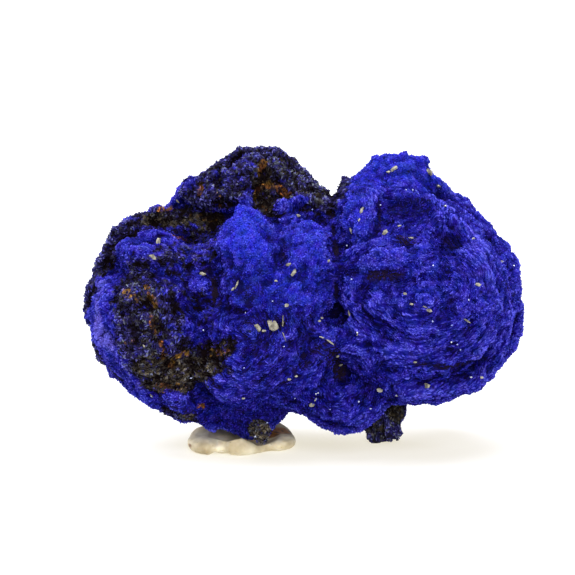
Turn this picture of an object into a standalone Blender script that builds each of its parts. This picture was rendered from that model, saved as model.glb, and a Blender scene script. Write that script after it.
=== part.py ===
"""Azurite specimen: two grown-together nodules of crystal crust, standing on a pinch of mounting putty.

Frame: metres, +Z up, standing on z = 0. X runs from the dark nodule to the bright one.
The show side is -Y, and the origin is on the floor under the middle of the specimen.
"""

import bmesh
import bpy
import numpy as np
from mathutils import Matrix, Vector, noise

MM = 0.001

# Driving dimensions, in millimetres
SPECIMEN_WIDTH = 42.0
PUTTY_CENTRE = (-6.1, -1.3)
PUTTY_HEIGHT = 2.6
PUTTY_BULGE = 0.42  # height of the putty's widest part, as a share of its own
PUTTY_SQUARENESS = 3.0  # 2 is round in section, and more is squarer
SEAT_GAP = 0.3  # between the putty and the stone pressed into it

SKIN_VOXEL = 0.42  # grid that fuses the lumps into one skin
FINISH_VOXEL = 0.34  # grid that cleans the skin once it is rough
KNOB_SPACING = 3.0  # between the small knobs that cover the crust
KNOB_HEIGHT = 0.55
GRIT_SPACING = 1.6
GRIT_HEIGHT = 0.2
WAVE_SPACING = 3.1  # of the slow unevenness under the knobs
WAVE_HEIGHT = 0.35
DRIFT_SPACING = 2.2  # of the wandering that keeps the knobs from looking evenly set
DRIFT_REACH = 0.9

# Counts and shares
LUMP_DETAIL = 4  # times that a lump's twenty triangles are divided
SOFTEN_PASSES = 5
SKIN_TRIANGLES = 8600
PUTTY_TRIANGLES = 600  # before the seat is cut
SEAT_TRIANGLES = 5000  # in the cutter that has the whole stone's shape
SEAT_SWELL = 1.3  # makes up for what thinning takes off the cutter
CREASE_SHARPNESS = 1.6  # how soon a knob rises from the crease around it
KNOB_MIDDLE = 0.4  # height on a knob that stays where the surface was
SIDE_SHARPNESS = 2.5  # how soon a hollow fades where the surface turns away
SIDE_SPILL = 0.4  # its depth on a surface that is seen edge-on

FRONT = -1.0  # the side of the stone that a hollow or ridge is on, as the sign of Y
BACK = 1.0

# Each lump is (centre x, y, z), (half widths x, y, z), in millimetres.
BRIGHT_NODULE = {
    "core": ((12.2, 1.6, 14.1), (8.5, 9.2, 9.5)),
    "equator": ((16.3, 1.4, 12.9), (4.7, 6.2, 6.8)),
    "crest": ((8.8, 2.0, 24.0), (4.4, 4.6, 3.5)),
    "crest_left_knob": ((7.4, 1.4, 26.4), (1.8, 2.2, 1.9)),
    "crest_top_knob": ((9.3, 1.6, 27.0), (1.3, 1.8, 1.3)),
    "crest_right_knob": ((10.9, 2.2, 26.3), (1.3, 1.9, 1.4)),
    "crest_low_knob": ((4.6, 0.8, 24.6), (1.6, 1.8, 1.5)),
    "shoulder": ((13.2, 2.2, 21.9), (2.9, 4.2, 2.9)),
    "upper_left_knob": ((5.6, -2.4, 22.6), (2.6, 3.6, 3.3)),
    "cleft_knob": ((5.2, -4.4, 20.9), (2.0, 2.6, 2.2)),
    "hollow_back": ((10.2, -2.4, 21.2), (4.4, 4.2, 4.2)),
    "mid_knob": ((7.2, -4.2, 18.6), (4.2, 4.6, 3.4)),
    "left_bulge": ((6.9, -5.0, 14.6), (4.0, 3.8, 3.8)),
    "belly": ((9.6, -3.8, 10.8), (6.6, 5.4, 5.0)),
    "right_cheek": ((14.2, -3.4, 14.8), (5.4, 5.2, 7.0)),
    "front_dome": ((10.6, -3.6, 15.0), (6.6, 5.4, 6.6)),
    "lower_rim": ((11.6, -2.2, 7.3), (5.4, 5.0, 2.6)),
    "foot_lobe": ((3.8, -2.7, 5.2), (4.1, 4.7, 3.4)),
    "back_upper": ((11.2, 6.4, 17.4), (5.8, 4.8, 5.8)),
    "back_lower": ((12.6, 6.8, 9.8), (5.8, 4.6, 5.0)),
    "back_high_knob": ((8.0, 7.2, 21.6), (3.0, 3.0, 3.0)),
    "back_side_knob": ((17.0, 5.8, 15.0), (3.2, 3.6, 4.2)),
    "back_low_knob": ((8.2, 9.0, 12.0), (3.2, 2.6, 3.0)),
    "back_heel": ((13.4, 8.2, 6.6), (3.6, 3.0, 2.6)),
}
DARK_NODULE = {
    "core": ((-5.4, 1.8, 13.2), (8.6, 8.6, 9.0)),
    "front_ball": ((-14.7, -2.4, 12.6), (5.6, 6.6, 6.2)),
    "violet_band": ((-18.1, 0.4, 14.2), (2.8, 4.6, 4.2)),
    "outer_rim": ((-16.0, 2.6, 15.4), (4.1, 5.8, 5.4)),
    "lower_rim": ((-14.6, 1.2, 8.9), (4.4, 5.4, 4.2)),
    "blue_mound": ((-14.4, -3.0, 19.2), (3.1, 3.4, 2.5)),
    "left_shelf": ((-15.0, 2.0, 20.4), (3.3, 3.4, 2.2)),
    "crown": ((-4.6, 4.4, 23.2), (5.4, 6.0, 5.1)),
    "crown_tip": ((-3.5, 3.0, 26.3), (2.4, 3.2, 2.1)),
    "crown_left": ((-9.3, 3.4, 22.9), (3.1, 4.2, 2.9)),
    "crown_step": ((-12.6, 2.8, 21.3), (2.0, 3.0, 1.8)),
    "crown_right": ((0.0, 2.4, 22.7), (3.0, 4.2, 3.2)),
    "crown_foot": ((2.2, 1.4, 21.8), (2.0, 3.6, 3.3)),
    "crown_front": ((-1.2, -0.8, 21.2), (3.6, 3.4, 2.4)),
    "mottled_slope": ((-10.2, -2.4, 16.4), (4.6, 4.8, 3.8)),
    "bright_knob": ((-5.2, -4.9, 20.3), (3.9, 3.7, 3.4)),
    "bright_knob_tip": ((-5.7, -4.6, 22.9), (1.5, 1.7, 1.9)),
    "second_knob": ((0.5, -4.8, 18.8), (2.9, 3.4, 4.2)),
    "knob_shelf": ((-2.8, -5.6, 15.4), (5.6, 3.8, 4.2)),
    "belly": ((-5.0, -3.8, 10.8), (7.6, 5.8, 6.0)),
    "bridge": ((2.4, -4.7, 11.6), (3.9, 3.8, 2.5)),
    "striped_lobe": ((-0.4, -3.8, 8.2), (3.4, 4.2, 4.1)),
    "pit_floor": ((3.4, -0.8, 8.2), (3.0, 4.4, 4.0)),
    "under_ball": ((-12.4, -2.6, 7.7), (4.4, 4.6, 3.4)),
    "seat_lobe": ((-5.7, -1.2, 4.8), (4.3, 4.4, 3.6)),
    "small_foot": ((-11.2, -2.8, 4.9), (2.4, 3.0, 2.3)),
    "nugget": ((-4.1, -5.4, 2.75), (1.35, 1.3, 1.25)),
    "nugget_stalk": ((-4.2, -4.2, 3.6), (1.1, 1.5, 1.3)),
    "back_upper": ((-8.6, 6.6, 17.2), (6.0, 4.6, 5.4)),
    "back_lower": ((-6.4, 6.8, 9.4), (6.4, 4.6, 5.2)),
    "back_left": ((-14.2, 5.4, 12.2), (4.4, 4.4, 4.8)),
    "back_crown_knob": ((-6.0, 8.2, 21.0), (3.2, 2.8, 2.8)),
    "back_ball": ((-12.6, 8.0, 14.8), (3.4, 3.0, 3.2)),
    "back_mid_knob": ((-4.0, 9.6, 13.0), (3.0, 2.2, 2.8)),
    "back_heel": ((-9.4, 8.0, 6.8), (3.2, 3.0, 2.6)),
}
NECK = {
    "waist": ((3.0, 3.0, 11.4), (4.2, 5.4, 7.6)),
    "cleft_bed": ((2.9, -2.6, 16.4), (2.0, 4.0, 6.2)),
    "cleft_left_wall": ((1.5, -5.0, 17.4), (1.7, 2.8, 4.6)),
    "cleft_right_wall": ((4.7, -5.0, 17.0), (1.7, 2.8, 4.4)),
    "notch_bed": ((2.5, -0.4, 20.4), (2.2, 3.6, 3.0)),
    "back_notch_bed": ((2.6, 4.8, 18.8), (2.6, 3.4, 3.8)),
    "back_saddle": ((2.6, 6.0, 14.6), (4.4, 4.2, 5.4)),
    "back_saddle_knob": ((2.2, 8.6, 9.8), (2.6, 2.2, 2.4)),
}
NUB = {
    "root": ((7.8, 2.6, 3.6), (2.4, 2.1, 2.8)),
    "tip": ((7.4, 2.6, 1.6), (1.8, 1.6, 2.1)),
}

# Each hollow is (side, (x, z), (half width, half height), depth), in millimetres.
HOLLOWS = {
    "under_crown": (FRONT, (-10.6, 22.6), (3.4, 0.9), 2.6),
    "under_crown_deep": (FRONT, (-8.8, 22.2), (1.6, 0.8), 0.8),
    "crown_rust_pocket": (FRONT, (-3.8, 25.0), (1.5, 2.0), 1.5),
    "crown_foot_pocket": (FRONT, (-2.6, 22.4), (1.2, 1.0), 1.2),
    "behind_second_knob": (FRONT, (0.4, 22.6), (1.8, 0.7), 1.2),
    "mottled_pocket": (FRONT, (-10.6, 18.6), (1.8, 1.2), 0.9),
    "mottled_pit": (FRONT, (-8.4, 16.6), (0.6, 1.4), 0.4),
    "ball_pocket": (FRONT, (-12.6, 13.6), (1.2, 0.9), 0.7),
    "olive_hollow": (FRONT, (-9.4, 10.8), (2.2, 1.1), 0.8),
    "between_knobs_pit": (FRONT, (-2.0, 20.2), (0.6, 0.6), 0.5),
    "belly_hollow": (FRONT, (-7.0, 12.0), (1.8, 1.0), 0.6),
    "cleft_foot": (FRONT, (2.8, 14.2), (0.8, 0.6), 0.6),
    "cleft_pocket": (FRONT, (3.2, 9.8), (1.0, 1.2), 0.6),
    "crest_hollow": (FRONT, (10.4, 23.6), (2.6, 1.7), 1.6),
    "crest_pit": (FRONT, (9.2, 21.2), (1.6, 0.7), 1.2),
    "round_pit": (FRONT, (14.0, 20.6), (1.4, 1.2), 1.5),
    "left_pit": (FRONT, (5.6, 18.4), (1.0, 0.9), 0.9),
    "brown_pit": (FRONT, (8.0, 17.4), (1.5, 0.7), 1.3),
    "rim_pit": (FRONT, (17.4, 9.2), (1.0, 0.6), 0.6),
    "cheek_pit": (FRONT, (15.8, 13.0), (1.0, 0.8), 0.6),
    "back_saddle_pit": (BACK, (3.2, 17.6), (1.6, 1.8), 0.8),
    "back_right_pit": (BACK, (13.6, 14.0), (2.0, 1.4), 1.4),
    "back_right_low_pit": (BACK, (10.4, 8.2), (1.6, 1.2), 1.3),
    "back_left_pit": (BACK, (-8.6, 12.0), (1.8, 1.5), 1.6),
    "back_crown_pit": (BACK, (-9.6, 20.4), (1.6, 1.4), 1.2),
    "back_edge_pit": (BACK, (-15.2, 10.8), (1.4, 1.4), 1.0),
}

# Each cleft is (side, points x, z, half width, depth). A negative depth is a ridge or a ledge.
CLEFTS = {
    "main_top": (FRONT, ((2.7, 25.6), (2.6, 23.4), (2.9, 21.4)), 0.45, 0.9),
    "main": (FRONT, ((2.9, 21.4), (3.2, 19.4), (3.3, 16.6), (3.0, 14.4)), 0.45, 0.8),
    "main_foot": (FRONT, ((3.0, 14.2), (1.6, 13.4), (0.4, 13.0)), 0.5, 0.5),
    "bridge_foot": (FRONT, ((2.4, 11.4), (2.9, 9.4), (3.9, 8.2)), 0.6, 0.8),
    "between_knobs": (FRONT, ((-2.2, 22.6), (-2.0, 21.2), (-2.2, 19.6)), 0.45, 0.9),
    "knob_left_side": (FRONT, ((-9.3, 21.6), (-9.0, 19.4), (-8.6, 17.6), (-8.4, 15.4)), 0.5, 0.8),
    "mound_foot": (FRONT, ((-18.4, 17.8), (-15.4, 18.2), (-12.4, 17.8), (-8.8, 15.6)), 0.55, 0.7),
    "mound_top": (FRONT, ((-17.4, 20.8), (-14.8, 21.6), (-12.4, 21.4)), 0.6, 1.1),
    "ball_right_side": (FRONT, ((-11.4, 16.2), (-9.8, 13.6), (-9.6, 11.0), (-10.8, 8.8)), 0.6, 0.8),
    "foot_top": (FRONT, ((-14.0, 7.6), (-11.4, 7.4), (-9.4, 6.6), (-8.6, 5.0)), 0.55, 0.9),
    "ball_left_side": (FRONT, ((-17.7, 17.7), (-18.4, 13.7), (-18.1, 9.9), (-16.7, 6.8)), 0.6, 0.8),
    "right_rim": (FRONT, ((17.6, 20.2), (19.0, 16.6), (19.4, 12.8), (18.4, 9.0)), 0.6, 0.3),
    "upper_knob_foot": (FRONT, ((3.2, 20.6), (4.6, 20.2), (6.2, 21.2), (7.2, 22.8), (7.0, 24.2)), 0.5, 0.9),
    "mid_knob_foot": (FRONT, ((4.0, 16.8), (5.6, 16.6), (7.6, 17.6), (9.6, 18.8), (12.4, 19.8)), 0.5, 0.5),
    "belly_top": (FRONT, ((3.6, 13.4), (6.4, 14.0), (9.8, 14.2), (12.2, 13.4)), 0.5, 0.4),
    "lower_ledge": (FRONT, ((10.2, 8.4), (13.2, 8.2), (16.4, 8.6), (18.4, 9.6)), 0.5, 0.6),
    "rim_line": (FRONT, ((17.0, 8.8), (18.2, 11.4), (18.6, 14.6), (17.8, 18.0)), 0.5, 0.25),
    "sharp_ledge": (FRONT, ((11.2, 7.3), (14.0, 7.2), (16.6, 7.7)), 0.5, -0.5),
    "knob_rim": (FRONT, ((5.0, 19.4), (6.8, 20.6), (8.6, 20.4), (10.4, 19.8)), 0.5, -0.5),
    "bulge_rim": (FRONT, ((4.4, 15.2), (6.4, 15.6), (8.8, 15.8)), 0.5, -0.4),
    "flow_lip": (FRONT, ((-6.4, 12.8), (-3.2, 12.2), (-0.4, 12.6), (2.0, 12.4)), 0.6, -0.4),
    "back_main_top": (BACK, ((2.8, 25.0), (2.4, 21.6), (3.4, 17.4)), 0.7, 1.4),
    "back_main_foot": (BACK, ((3.4, 16.4), (2.2, 13.0), (3.6, 8.0), (2.6, 4.0)), 0.7, 1.4),
    "back_right": (BACK, ((6.2, 15.6), (9.4, 16.6), (12.6, 15.8), (15.4, 17.2), (18.0, 18.8)), 0.6, 1.1),
    "back_right_low": (BACK, ((6.0, 9.2), (9.6, 8.4), (13.0, 9.4), (17.0, 9.0)), 0.6, 1.1),
    "back_left": (BACK, ((-16.6, 16.2), (-12.8, 18.2), (-9.2, 16.6), (-5.6, 17.4), (-1.4, 16.0)), 0.6, 1.2),
    "back_left_low": (BACK, ((-15.4, 9.4), (-11.4, 9.8), (-7.6, 8.4), (-3.6, 9.8)), 0.6, 1.1),
    "back_crown": (BACK, ((-11.0, 21.8), (-7.4, 23.8), (-3.4, 22.8), (-0.6, 20.4)), 0.6, 1.0),
}

# Each lobe of the putty is (centre x, y), (half widths x, y), height as a share of the putty's.
# The centres are measured from the putty's own, in millimetres.
PUTTY_LOBES = {
    "left": ((-2.9, -0.5), (2.3, 3.5), 0.84),
    "middle": ((-0.3, -0.2), (3.4, 4.1), 1.0),
    "right": ((2.9, 0.5), (2.3, 3.0), 0.88),
}

# Each fold in the putty is (points x, y), half width, depth, in millimetres from the putty's centre.
PUTTY_FOLDS = {
    "left": (((-2.9, -4.6), (-2.4, -3.2), (-2.9, -2.0)), 0.35, 0.5),
    "front": (((-1.9, -4.6), (-1.5, -3.4), (-0.6, -3.0)), 0.3, 0.35),
    "right": (((1.8, -4.4), (2.2, -3.0), (3.0, -2.2)), 0.35, 0.35),
    "back": (((-1.0, 4.6), (0.2, 3.4), (1.8, 3.6)), 0.4, 0.4),
    "back_left": (((-4.8, 2.4), (-3.6, 2.0)), 0.4, 0.35),
}

AZURITE_BLUE = (0.016, 0.012, 0.58, 1.0)
AZURITE_ROUGHNESS = 0.7
PUTTY_WHITE = (0.76, 0.70, 0.58, 1.0)
PUTTY_ROUGHNESS = 0.6


def lump(work, centre, half_widths):
    """A round lump, stretched to its half widths, added to the mesh."""
    place = Matrix.Translation(Vector(centre) * MM)
    stretch = Matrix.Diagonal((*(Vector(half_widths) * MM), 1.0))
    bmesh.ops.create_icosphere(work, subdivisions=LUMP_DETAIL, radius=1.0, matrix=place @ stretch)


def new_object(name, work, collection):
    """An object in this collection with the work mesh, which is freed."""
    mesh = bpy.data.meshes.new(name)
    work.to_mesh(mesh)
    work.free()
    made = bpy.data.objects.new(name, mesh)
    collection.objects.link(made)
    return made


def new_collection(name):
    collection = bpy.data.collections.new(name)
    bpy.context.scene.collection.children.link(collection)
    return collection


def settle(thing):
    """Puts the modifiers' result in the object's own mesh."""
    graph = bpy.context.evaluated_depsgraph_get()
    settled = bpy.data.meshes.new_from_object(thing.evaluated_get(graph))
    thing.modifiers.clear()
    thing.data = settled


def fuse(thing, voxel):
    """Overlapping lumps become one closed skin."""
    remesh = thing.modifiers.new("skin", "REMESH")
    remesh.mode = "VOXEL"
    remesh.voxel_size = voxel * MM
    settle(thing)


def thin_out(thing, triangles):
    """Keeps the shape with about this many triangles."""
    faces = sum(len(face.vertices) - 2 for face in thing.data.polygons)
    decimate = thing.modifiers.new("thin_out", "DECIMATE")
    decimate.ratio = triangles / faces
    settle(thing)


def soften(thing):
    """Rounds the creases between the lumps."""
    work = bmesh.new()
    work.from_mesh(thing.data)
    all_ways = {"use_axis_x": True, "use_axis_y": True, "use_axis_z": True}
    for _ in range(SOFTEN_PASSES):
        bmesh.ops.smooth_vert(work, verts=work.verts, factor=0.5, **all_ways)
    work.to_mesh(thing.data)
    work.free()


def points_and_normals(mesh):
    """The mesh's points in millimetres, and the normals there."""
    points = np.empty(len(mesh.vertices) * 3)
    normals = np.empty(len(mesh.vertices) * 3)
    mesh.vertices.foreach_get("co", points)
    mesh.vertex_normals.foreach_get("vector", normals)
    return points.reshape(-1, 3) / MM, normals.reshape(-1, 3)


def put_points(mesh, points):
    mesh.vertices.foreach_set("co", (points * MM).ravel())
    mesh.update()


def distance_to_line(flat, line):
    """How far each flat point is from a line of straight pieces."""
    nearest = np.full(len(flat), np.inf)
    for start, end in zip(np.array(line[:-1]), np.array(line[1:])):
        run = end - start
        along = np.clip((flat - start) @ run / (run @ run), 0.0, 1.0)
        gap = flat - start - along[:, None] * run
        nearest = np.minimum(nearest, np.hypot(gap[:, 0], gap[:, 1]))
    return nearest


def on_side(normals, side):
    """1 where the surface faces the front or the back, whichever side is, and 0 where it faces away."""
    return np.clip(normals[:, 1] * side * SIDE_SHARPNESS + SIDE_SPILL, 0.0, 1.0)


def carve(thing):
    """Presses the hollows and clefts into the side that each is on, and raises the ledges."""
    points, normals = points_and_normals(thing.data)
    flat = points[:, [0, 2]].copy()
    moved = points.copy()
    for side, centre, half_widths, depth in HOLLOWS.values():
        reach = (((flat - centre) / half_widths) ** 2).sum(axis=1)
        moved -= normals * (depth * np.exp(-reach) * on_side(normals, side))[:, None]
    for side, line, half_width, depth in CLEFTS.values():
        reach = distance_to_line(flat, line) / half_width
        moved -= normals * (depth * np.exp(-(reach**2)) * on_side(normals, side))[:, None]
    put_points(thing.data, moved)


def knob_height(place, spacing):
    """Rounded knobs with a crease between them: 1 on a knob's top and 0 in a crease."""
    near = noise.voronoi(place / spacing)[0]
    return min(1.0, (near[1] - near[0]) * CREASE_SHARPNESS)


def drift(place):
    """How far the knobs wander from where an even setting would put them."""
    starts = (Vector((9.3, -1.5, -7.9)), Vector((3.7, 5.2, 12.4)), Vector((-6.1, 2.8, 4.6)))
    return Vector([noise.noise(place / DRIFT_SPACING + start) for start in starts]) * DRIFT_REACH


def roughen(thing):
    """Covers the crust with knobs, grit and a slow unevenness."""
    points, normals = points_and_normals(thing.data)
    raised = np.empty(len(points))
    for index, point in enumerate(points):
        place = Vector(point)
        bent = place + drift(place)
        raised[index] = KNOB_HEIGHT * (knob_height(bent, KNOB_SPACING) - KNOB_MIDDLE)
        raised[index] += GRIT_HEIGHT * (knob_height(bent, GRIT_SPACING) - KNOB_MIDDLE)
        raised[index] += WAVE_HEIGHT * noise.noise(place / WAVE_SPACING)
    put_points(thing.data, points + normals * raised[:, None])


def fit_and_centre(thing, width):
    """Scales the stone to its width, and brings its middle over the origin."""
    points, _ = points_and_normals(thing.data)
    points *= width / np.ptp(points[:, 0])
    points[:, :2] -= (points[:, :2].min(axis=0) + points[:, :2].max(axis=0)) / 2
    put_points(thing.data, points)


def cut_flat(thing):
    """Cuts off what is below the floor, and closes the cut with a flat face."""
    work = bmesh.new()
    work.from_mesh(thing.data)
    everything = work.verts[:] + work.edges[:] + work.faces[:]
    cut = bmesh.ops.bisect_plane(
        work, geom=everything, dist=1e-7, plane_co=(0, 0, 0), plane_no=(0, 0, -1), clear_outer=True
    )
    rim = [edge for edge in cut["geom_cut"] if isinstance(edge, bmesh.types.BMEdge)]
    bmesh.ops.holes_fill(work, edges=rim, sides=0)
    bmesh.ops.triangulate(work, faces=work.faces)
    bmesh.ops.dissolve_degenerate(work, edges=work.edges, dist=1e-6)
    work.to_mesh(thing.data)
    work.free()


def make_stone(collection):
    """Both nodules, the nub and the nugget, as the one solid that they grew into."""
    work = bmesh.new()
    for group in (BRIGHT_NODULE, DARK_NODULE, NECK, NUB):
        for centre, half_widths in group.values():
            lump(work, centre, half_widths)
    stone = new_object("azurite", work, collection)
    fuse(stone, SKIN_VOXEL)
    soften(stone)
    carve(stone)
    fuse(stone, SKIN_VOXEL)
    roughen(stone)
    fuse(stone, FINISH_VOXEL)
    thin_out(stone, SKIN_TRIANGLES)
    fit_and_centre(stone, SPECIMEN_WIDTH)
    cut_flat(stone)
    return stone


def pad(work, centre, half_widths):
    """A lump with a bulging, squared-up side, added to the mesh."""
    made = bmesh.ops.create_icosphere(work, subdivisions=LUMP_DETAIL, radius=1.0)
    for vertex in made["verts"]:
        around = vertex.co.xy.length
        swell = around**PUTTY_SQUARENESS + abs(vertex.co.z) ** PUTTY_SQUARENESS
        vertex.co *= Vector(half_widths) * swell ** (-1.0 / PUTTY_SQUARENESS)
        vertex.co = (vertex.co + Vector(centre)) * MM


def fold(thing):
    """Presses the folds into the side of the putty."""
    points, normals = points_and_normals(thing.data)
    flat = points[:, :2] - PUTTY_CENTRE
    for line, half_width, depth in PUTTY_FOLDS.values():
        reach = distance_to_line(flat, line) / half_width
        points -= normals * (depth * np.exp(-(reach**2)))[:, None]
    put_points(thing.data, points)


def make_seat_cutter(collection, stone):
    """The stone's shape, larger all round by the gap that it keeps to its seat."""
    cutter = bpy.data.objects.new("seat_cutter", stone.data.copy())
    collection.objects.link(cutter)
    swell = cutter.modifiers.new("gap", "DISPLACE")
    swell.strength = SEAT_GAP * MM * SEAT_SWELL
    swell.mid_level = 0.0
    settle(cutter)
    fuse(cutter, SKIN_VOXEL)
    thin_out(cutter, SEAT_TRIANGLES)
    cutter.hide_render = True
    cutter.display_type = "WIRE"
    return cutter


def make_putty(collection, cutters, stone):
    """A pinch of putty pressed flat on the floor, with the stone's seat in its top."""
    work = bmesh.new()
    for (x, y), (half_length, half_depth), share in PUTTY_LOBES.values():
        middle = PUTTY_HEIGHT * share * PUTTY_BULGE
        centre = (PUTTY_CENTRE[0] + x, PUTTY_CENTRE[1] + y, middle)
        pad(work, centre, (half_length, half_depth, PUTTY_HEIGHT * share - middle))
    putty = new_object("putty", work, collection)
    fuse(putty, FINISH_VOXEL)
    fold(putty)
    thin_out(putty, PUTTY_TRIANGLES)
    cut_flat(putty)
    seat = putty.modifiers.new("seat", "BOOLEAN")
    seat.operation = "DIFFERENCE"
    seat.object = make_seat_cutter(cutters, stone)
    return putty


def finish(thing, colour, roughness):
    """The piece's own material."""
    material = bpy.data.materials.new(thing.name)
    material.use_nodes = True
    shader = material.node_tree.nodes["Principled BSDF"]
    shader.inputs["Base Color"].default_value = colour
    shader.inputs["Roughness"].default_value = roughness
    shader.inputs["Metallic"].default_value = 0.0
    thing.data.materials.clear()
    thing.data.materials.append(material)


def main():
    for old in list(bpy.data.objects):
        bpy.data.objects.remove(old)
    parts = new_collection("azurite_specimen")
    cutters = new_collection("cutters")
    stone = make_stone(parts)
    putty = make_putty(parts, cutters, stone)
    finish(stone, AZURITE_BLUE, AZURITE_ROUGHNESS)
    finish(putty, PUTTY_WHITE, PUTTY_ROUGHNESS)


if __name__ == "__main__":
    main()
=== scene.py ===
import math

import bmesh
import bpy
import numpy as np
from bpy.props import FloatProperty, FloatVectorProperty, PointerProperty
from mathutils import Euler, Matrix, Vector, noise
from mathutils.bvhtree import BVHTree


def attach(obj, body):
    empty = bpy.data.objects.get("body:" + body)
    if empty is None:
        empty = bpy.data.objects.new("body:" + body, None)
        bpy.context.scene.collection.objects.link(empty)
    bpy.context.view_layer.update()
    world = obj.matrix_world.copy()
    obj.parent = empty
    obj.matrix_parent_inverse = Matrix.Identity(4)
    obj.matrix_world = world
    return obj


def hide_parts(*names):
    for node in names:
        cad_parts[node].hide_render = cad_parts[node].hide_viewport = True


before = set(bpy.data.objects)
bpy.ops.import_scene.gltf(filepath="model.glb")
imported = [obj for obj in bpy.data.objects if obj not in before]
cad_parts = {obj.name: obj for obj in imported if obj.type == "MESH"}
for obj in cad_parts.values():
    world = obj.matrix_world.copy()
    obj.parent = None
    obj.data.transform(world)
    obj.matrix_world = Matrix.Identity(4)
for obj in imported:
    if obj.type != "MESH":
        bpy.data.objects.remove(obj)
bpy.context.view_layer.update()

bl_info = {
    "name": "Azurite Specimen",
    "version": (1, 0, 0),
    "blender": (4, 5, 0),
    "location": "View3D > Sidebar > Azurite",
    "description": "Grows a crystal crust, sand grains and rust over the packed azurite nodule",
    "category": "Object",
}

MM = 0.001

# The front view. A place in it is x and y in pixels from the top left of a square frame.
FRAME_PIXELS = 575
PIXELS_PER_MM = 10.5
AIM = Vector((-1.719, -1.071, 15.523)) * MM
CAMERA_DISTANCE = 0.30
CAMERA_ELEVATION = math.radians(10.0)
SENSOR = 36.0
RIGHT = Vector((1.0, 0.0, 0.0))
BACK = Vector((0.0, -math.cos(CAMERA_ELEVATION), math.sin(CAMERA_ELEVATION)))
UP = BACK.cross(RIGHT)
CAMERA = AIM + BACK * CAMERA_DISTANCE
FRONT_SIDE, REAR_SIDE = "front", "rear"
# Rows and clusters of crystals, in mm. They grow where their noise is above the gap.
ROW_WIDTH, ROW_LENGTH = 0.17, 0.60
CLUSTER_WIDTH, CLUSTER_LENGTH = 0.34, 0.27
ROW_GAP = 0.46
# Spacing of the skin's points while forms, lumps and putty are shaped, in mm, and passes of smoothing.
FORM_GRID, LUMP_GRID, PUTTY_GRID = 0.30, 0.22, 0.14
FORM_PASSES, LUMP_PASSES, PUTTY_PASSES = 8, 1, 6
# Lumps of the crust: size in mm and seed of the heads, the clumps and the crags, then their heights in mm.
LUMP_SIZES = ((2.5, 3), (1.2, 7), (0.95, 9))
HEAD_HEIGHT, CLUMP_HEIGHT, CRAG_HEIGHT, PIT_DEPTH = 0.32, 0.48, 0.70, 0.15
# How far the lumps stray from an even pattern and how deep they are set, in mm, and the mean of a billow.
LUMP_DRIFT, LUMP_SINK, BILLOW_MEAN = 0.35, 0.06, 0.7
# A stroke fades between these shares of its reach.
STROKE_FADE = (0.55, 1.35)
# Heights over the floor, in mm: of the skin, and of the lowest crystals.
FLOOR_GAP, ROOT_HEIGHT = 0.02, 0.3
# Tone of the bare skin, and how far the crystals' tones stray over a zone's edge.
SKIN_TONE, STRAY_SHARE = 0.35, 0.24
# The neck between the two nodules, as a place in the front view.
NECK = (330, 300)
# Radius of the studio's floor, in metres.
FLOOR_RADIUS = 2.5
# These keep divisions safe: by a squared length and a length in metres, and by a share.
TINY_AREA, TINY_LENGTH, TINY_SHARE = 1e-18, 1e-12, 1e-9
# Crystals: at most this many to the square metre, and the seeds of their lean, size and tone.
DENSEST = 60e6
LEAN_SEED, SIZE_SEED, TONE_SEED = 3, 5, 9
# Name, cover, seed and gap, then spacing, smallest and largest size in mm, and tilt in radians.
SUGARY = (0.152, (0.16, 0.11, 0.16), (0.32, 0.18, 0.32), (0.6, 0.6, 0.8))
CRYSTALS = (
    ("grains_left", "cover_left", 1, 0.46) + SUGARY,
    ("grains_right", "cover_right", 2, 0.46) + SUGARY,
    ("blades_lined", "cover_lines", 3, 0.44, 0.20, (0.35, 0.10, 0.22), (0.75, 0.17, 0.42), (0.4, 0.35, 0.30)),
    ("blades_dark", "cover_dark", 4, 0.44, 0.18, (0.22, 0.10, 0.24), (0.62, 0.18, 0.56), (0.9, 0.8, 1.0)),
)
# Sand: chipping as shares of the radius, then how far a grain stands out and its thickness at most, in mm.
SAND_SEED, SAND_CHIPPING, SAND_STAND, SAND_THICKEST = 7, (0.55, 1.25), 0.12, 0.4
# Glints: widths, lengths and how far one stands out, in mm.
GLINT_SEED, GLINT_WIDTHS, GLINT_LENGTHS, GLINT_STAND = 17, (0.13, 0.20), (0.18, 0.34), 0.16


def strokes(side, rows):
    """Strokes from rows of reach in pixels, strength, and the places' x and y in turn."""
    return tuple((side, tuple(zip(row[2::2], row[3::2])), row[0], row[1]) for row in rows)


def front(*rows):
    return strokes(FRONT_SIDE, rows)


def rear(*rows):
    return strokes(REAR_SIDE, rows)


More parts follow.
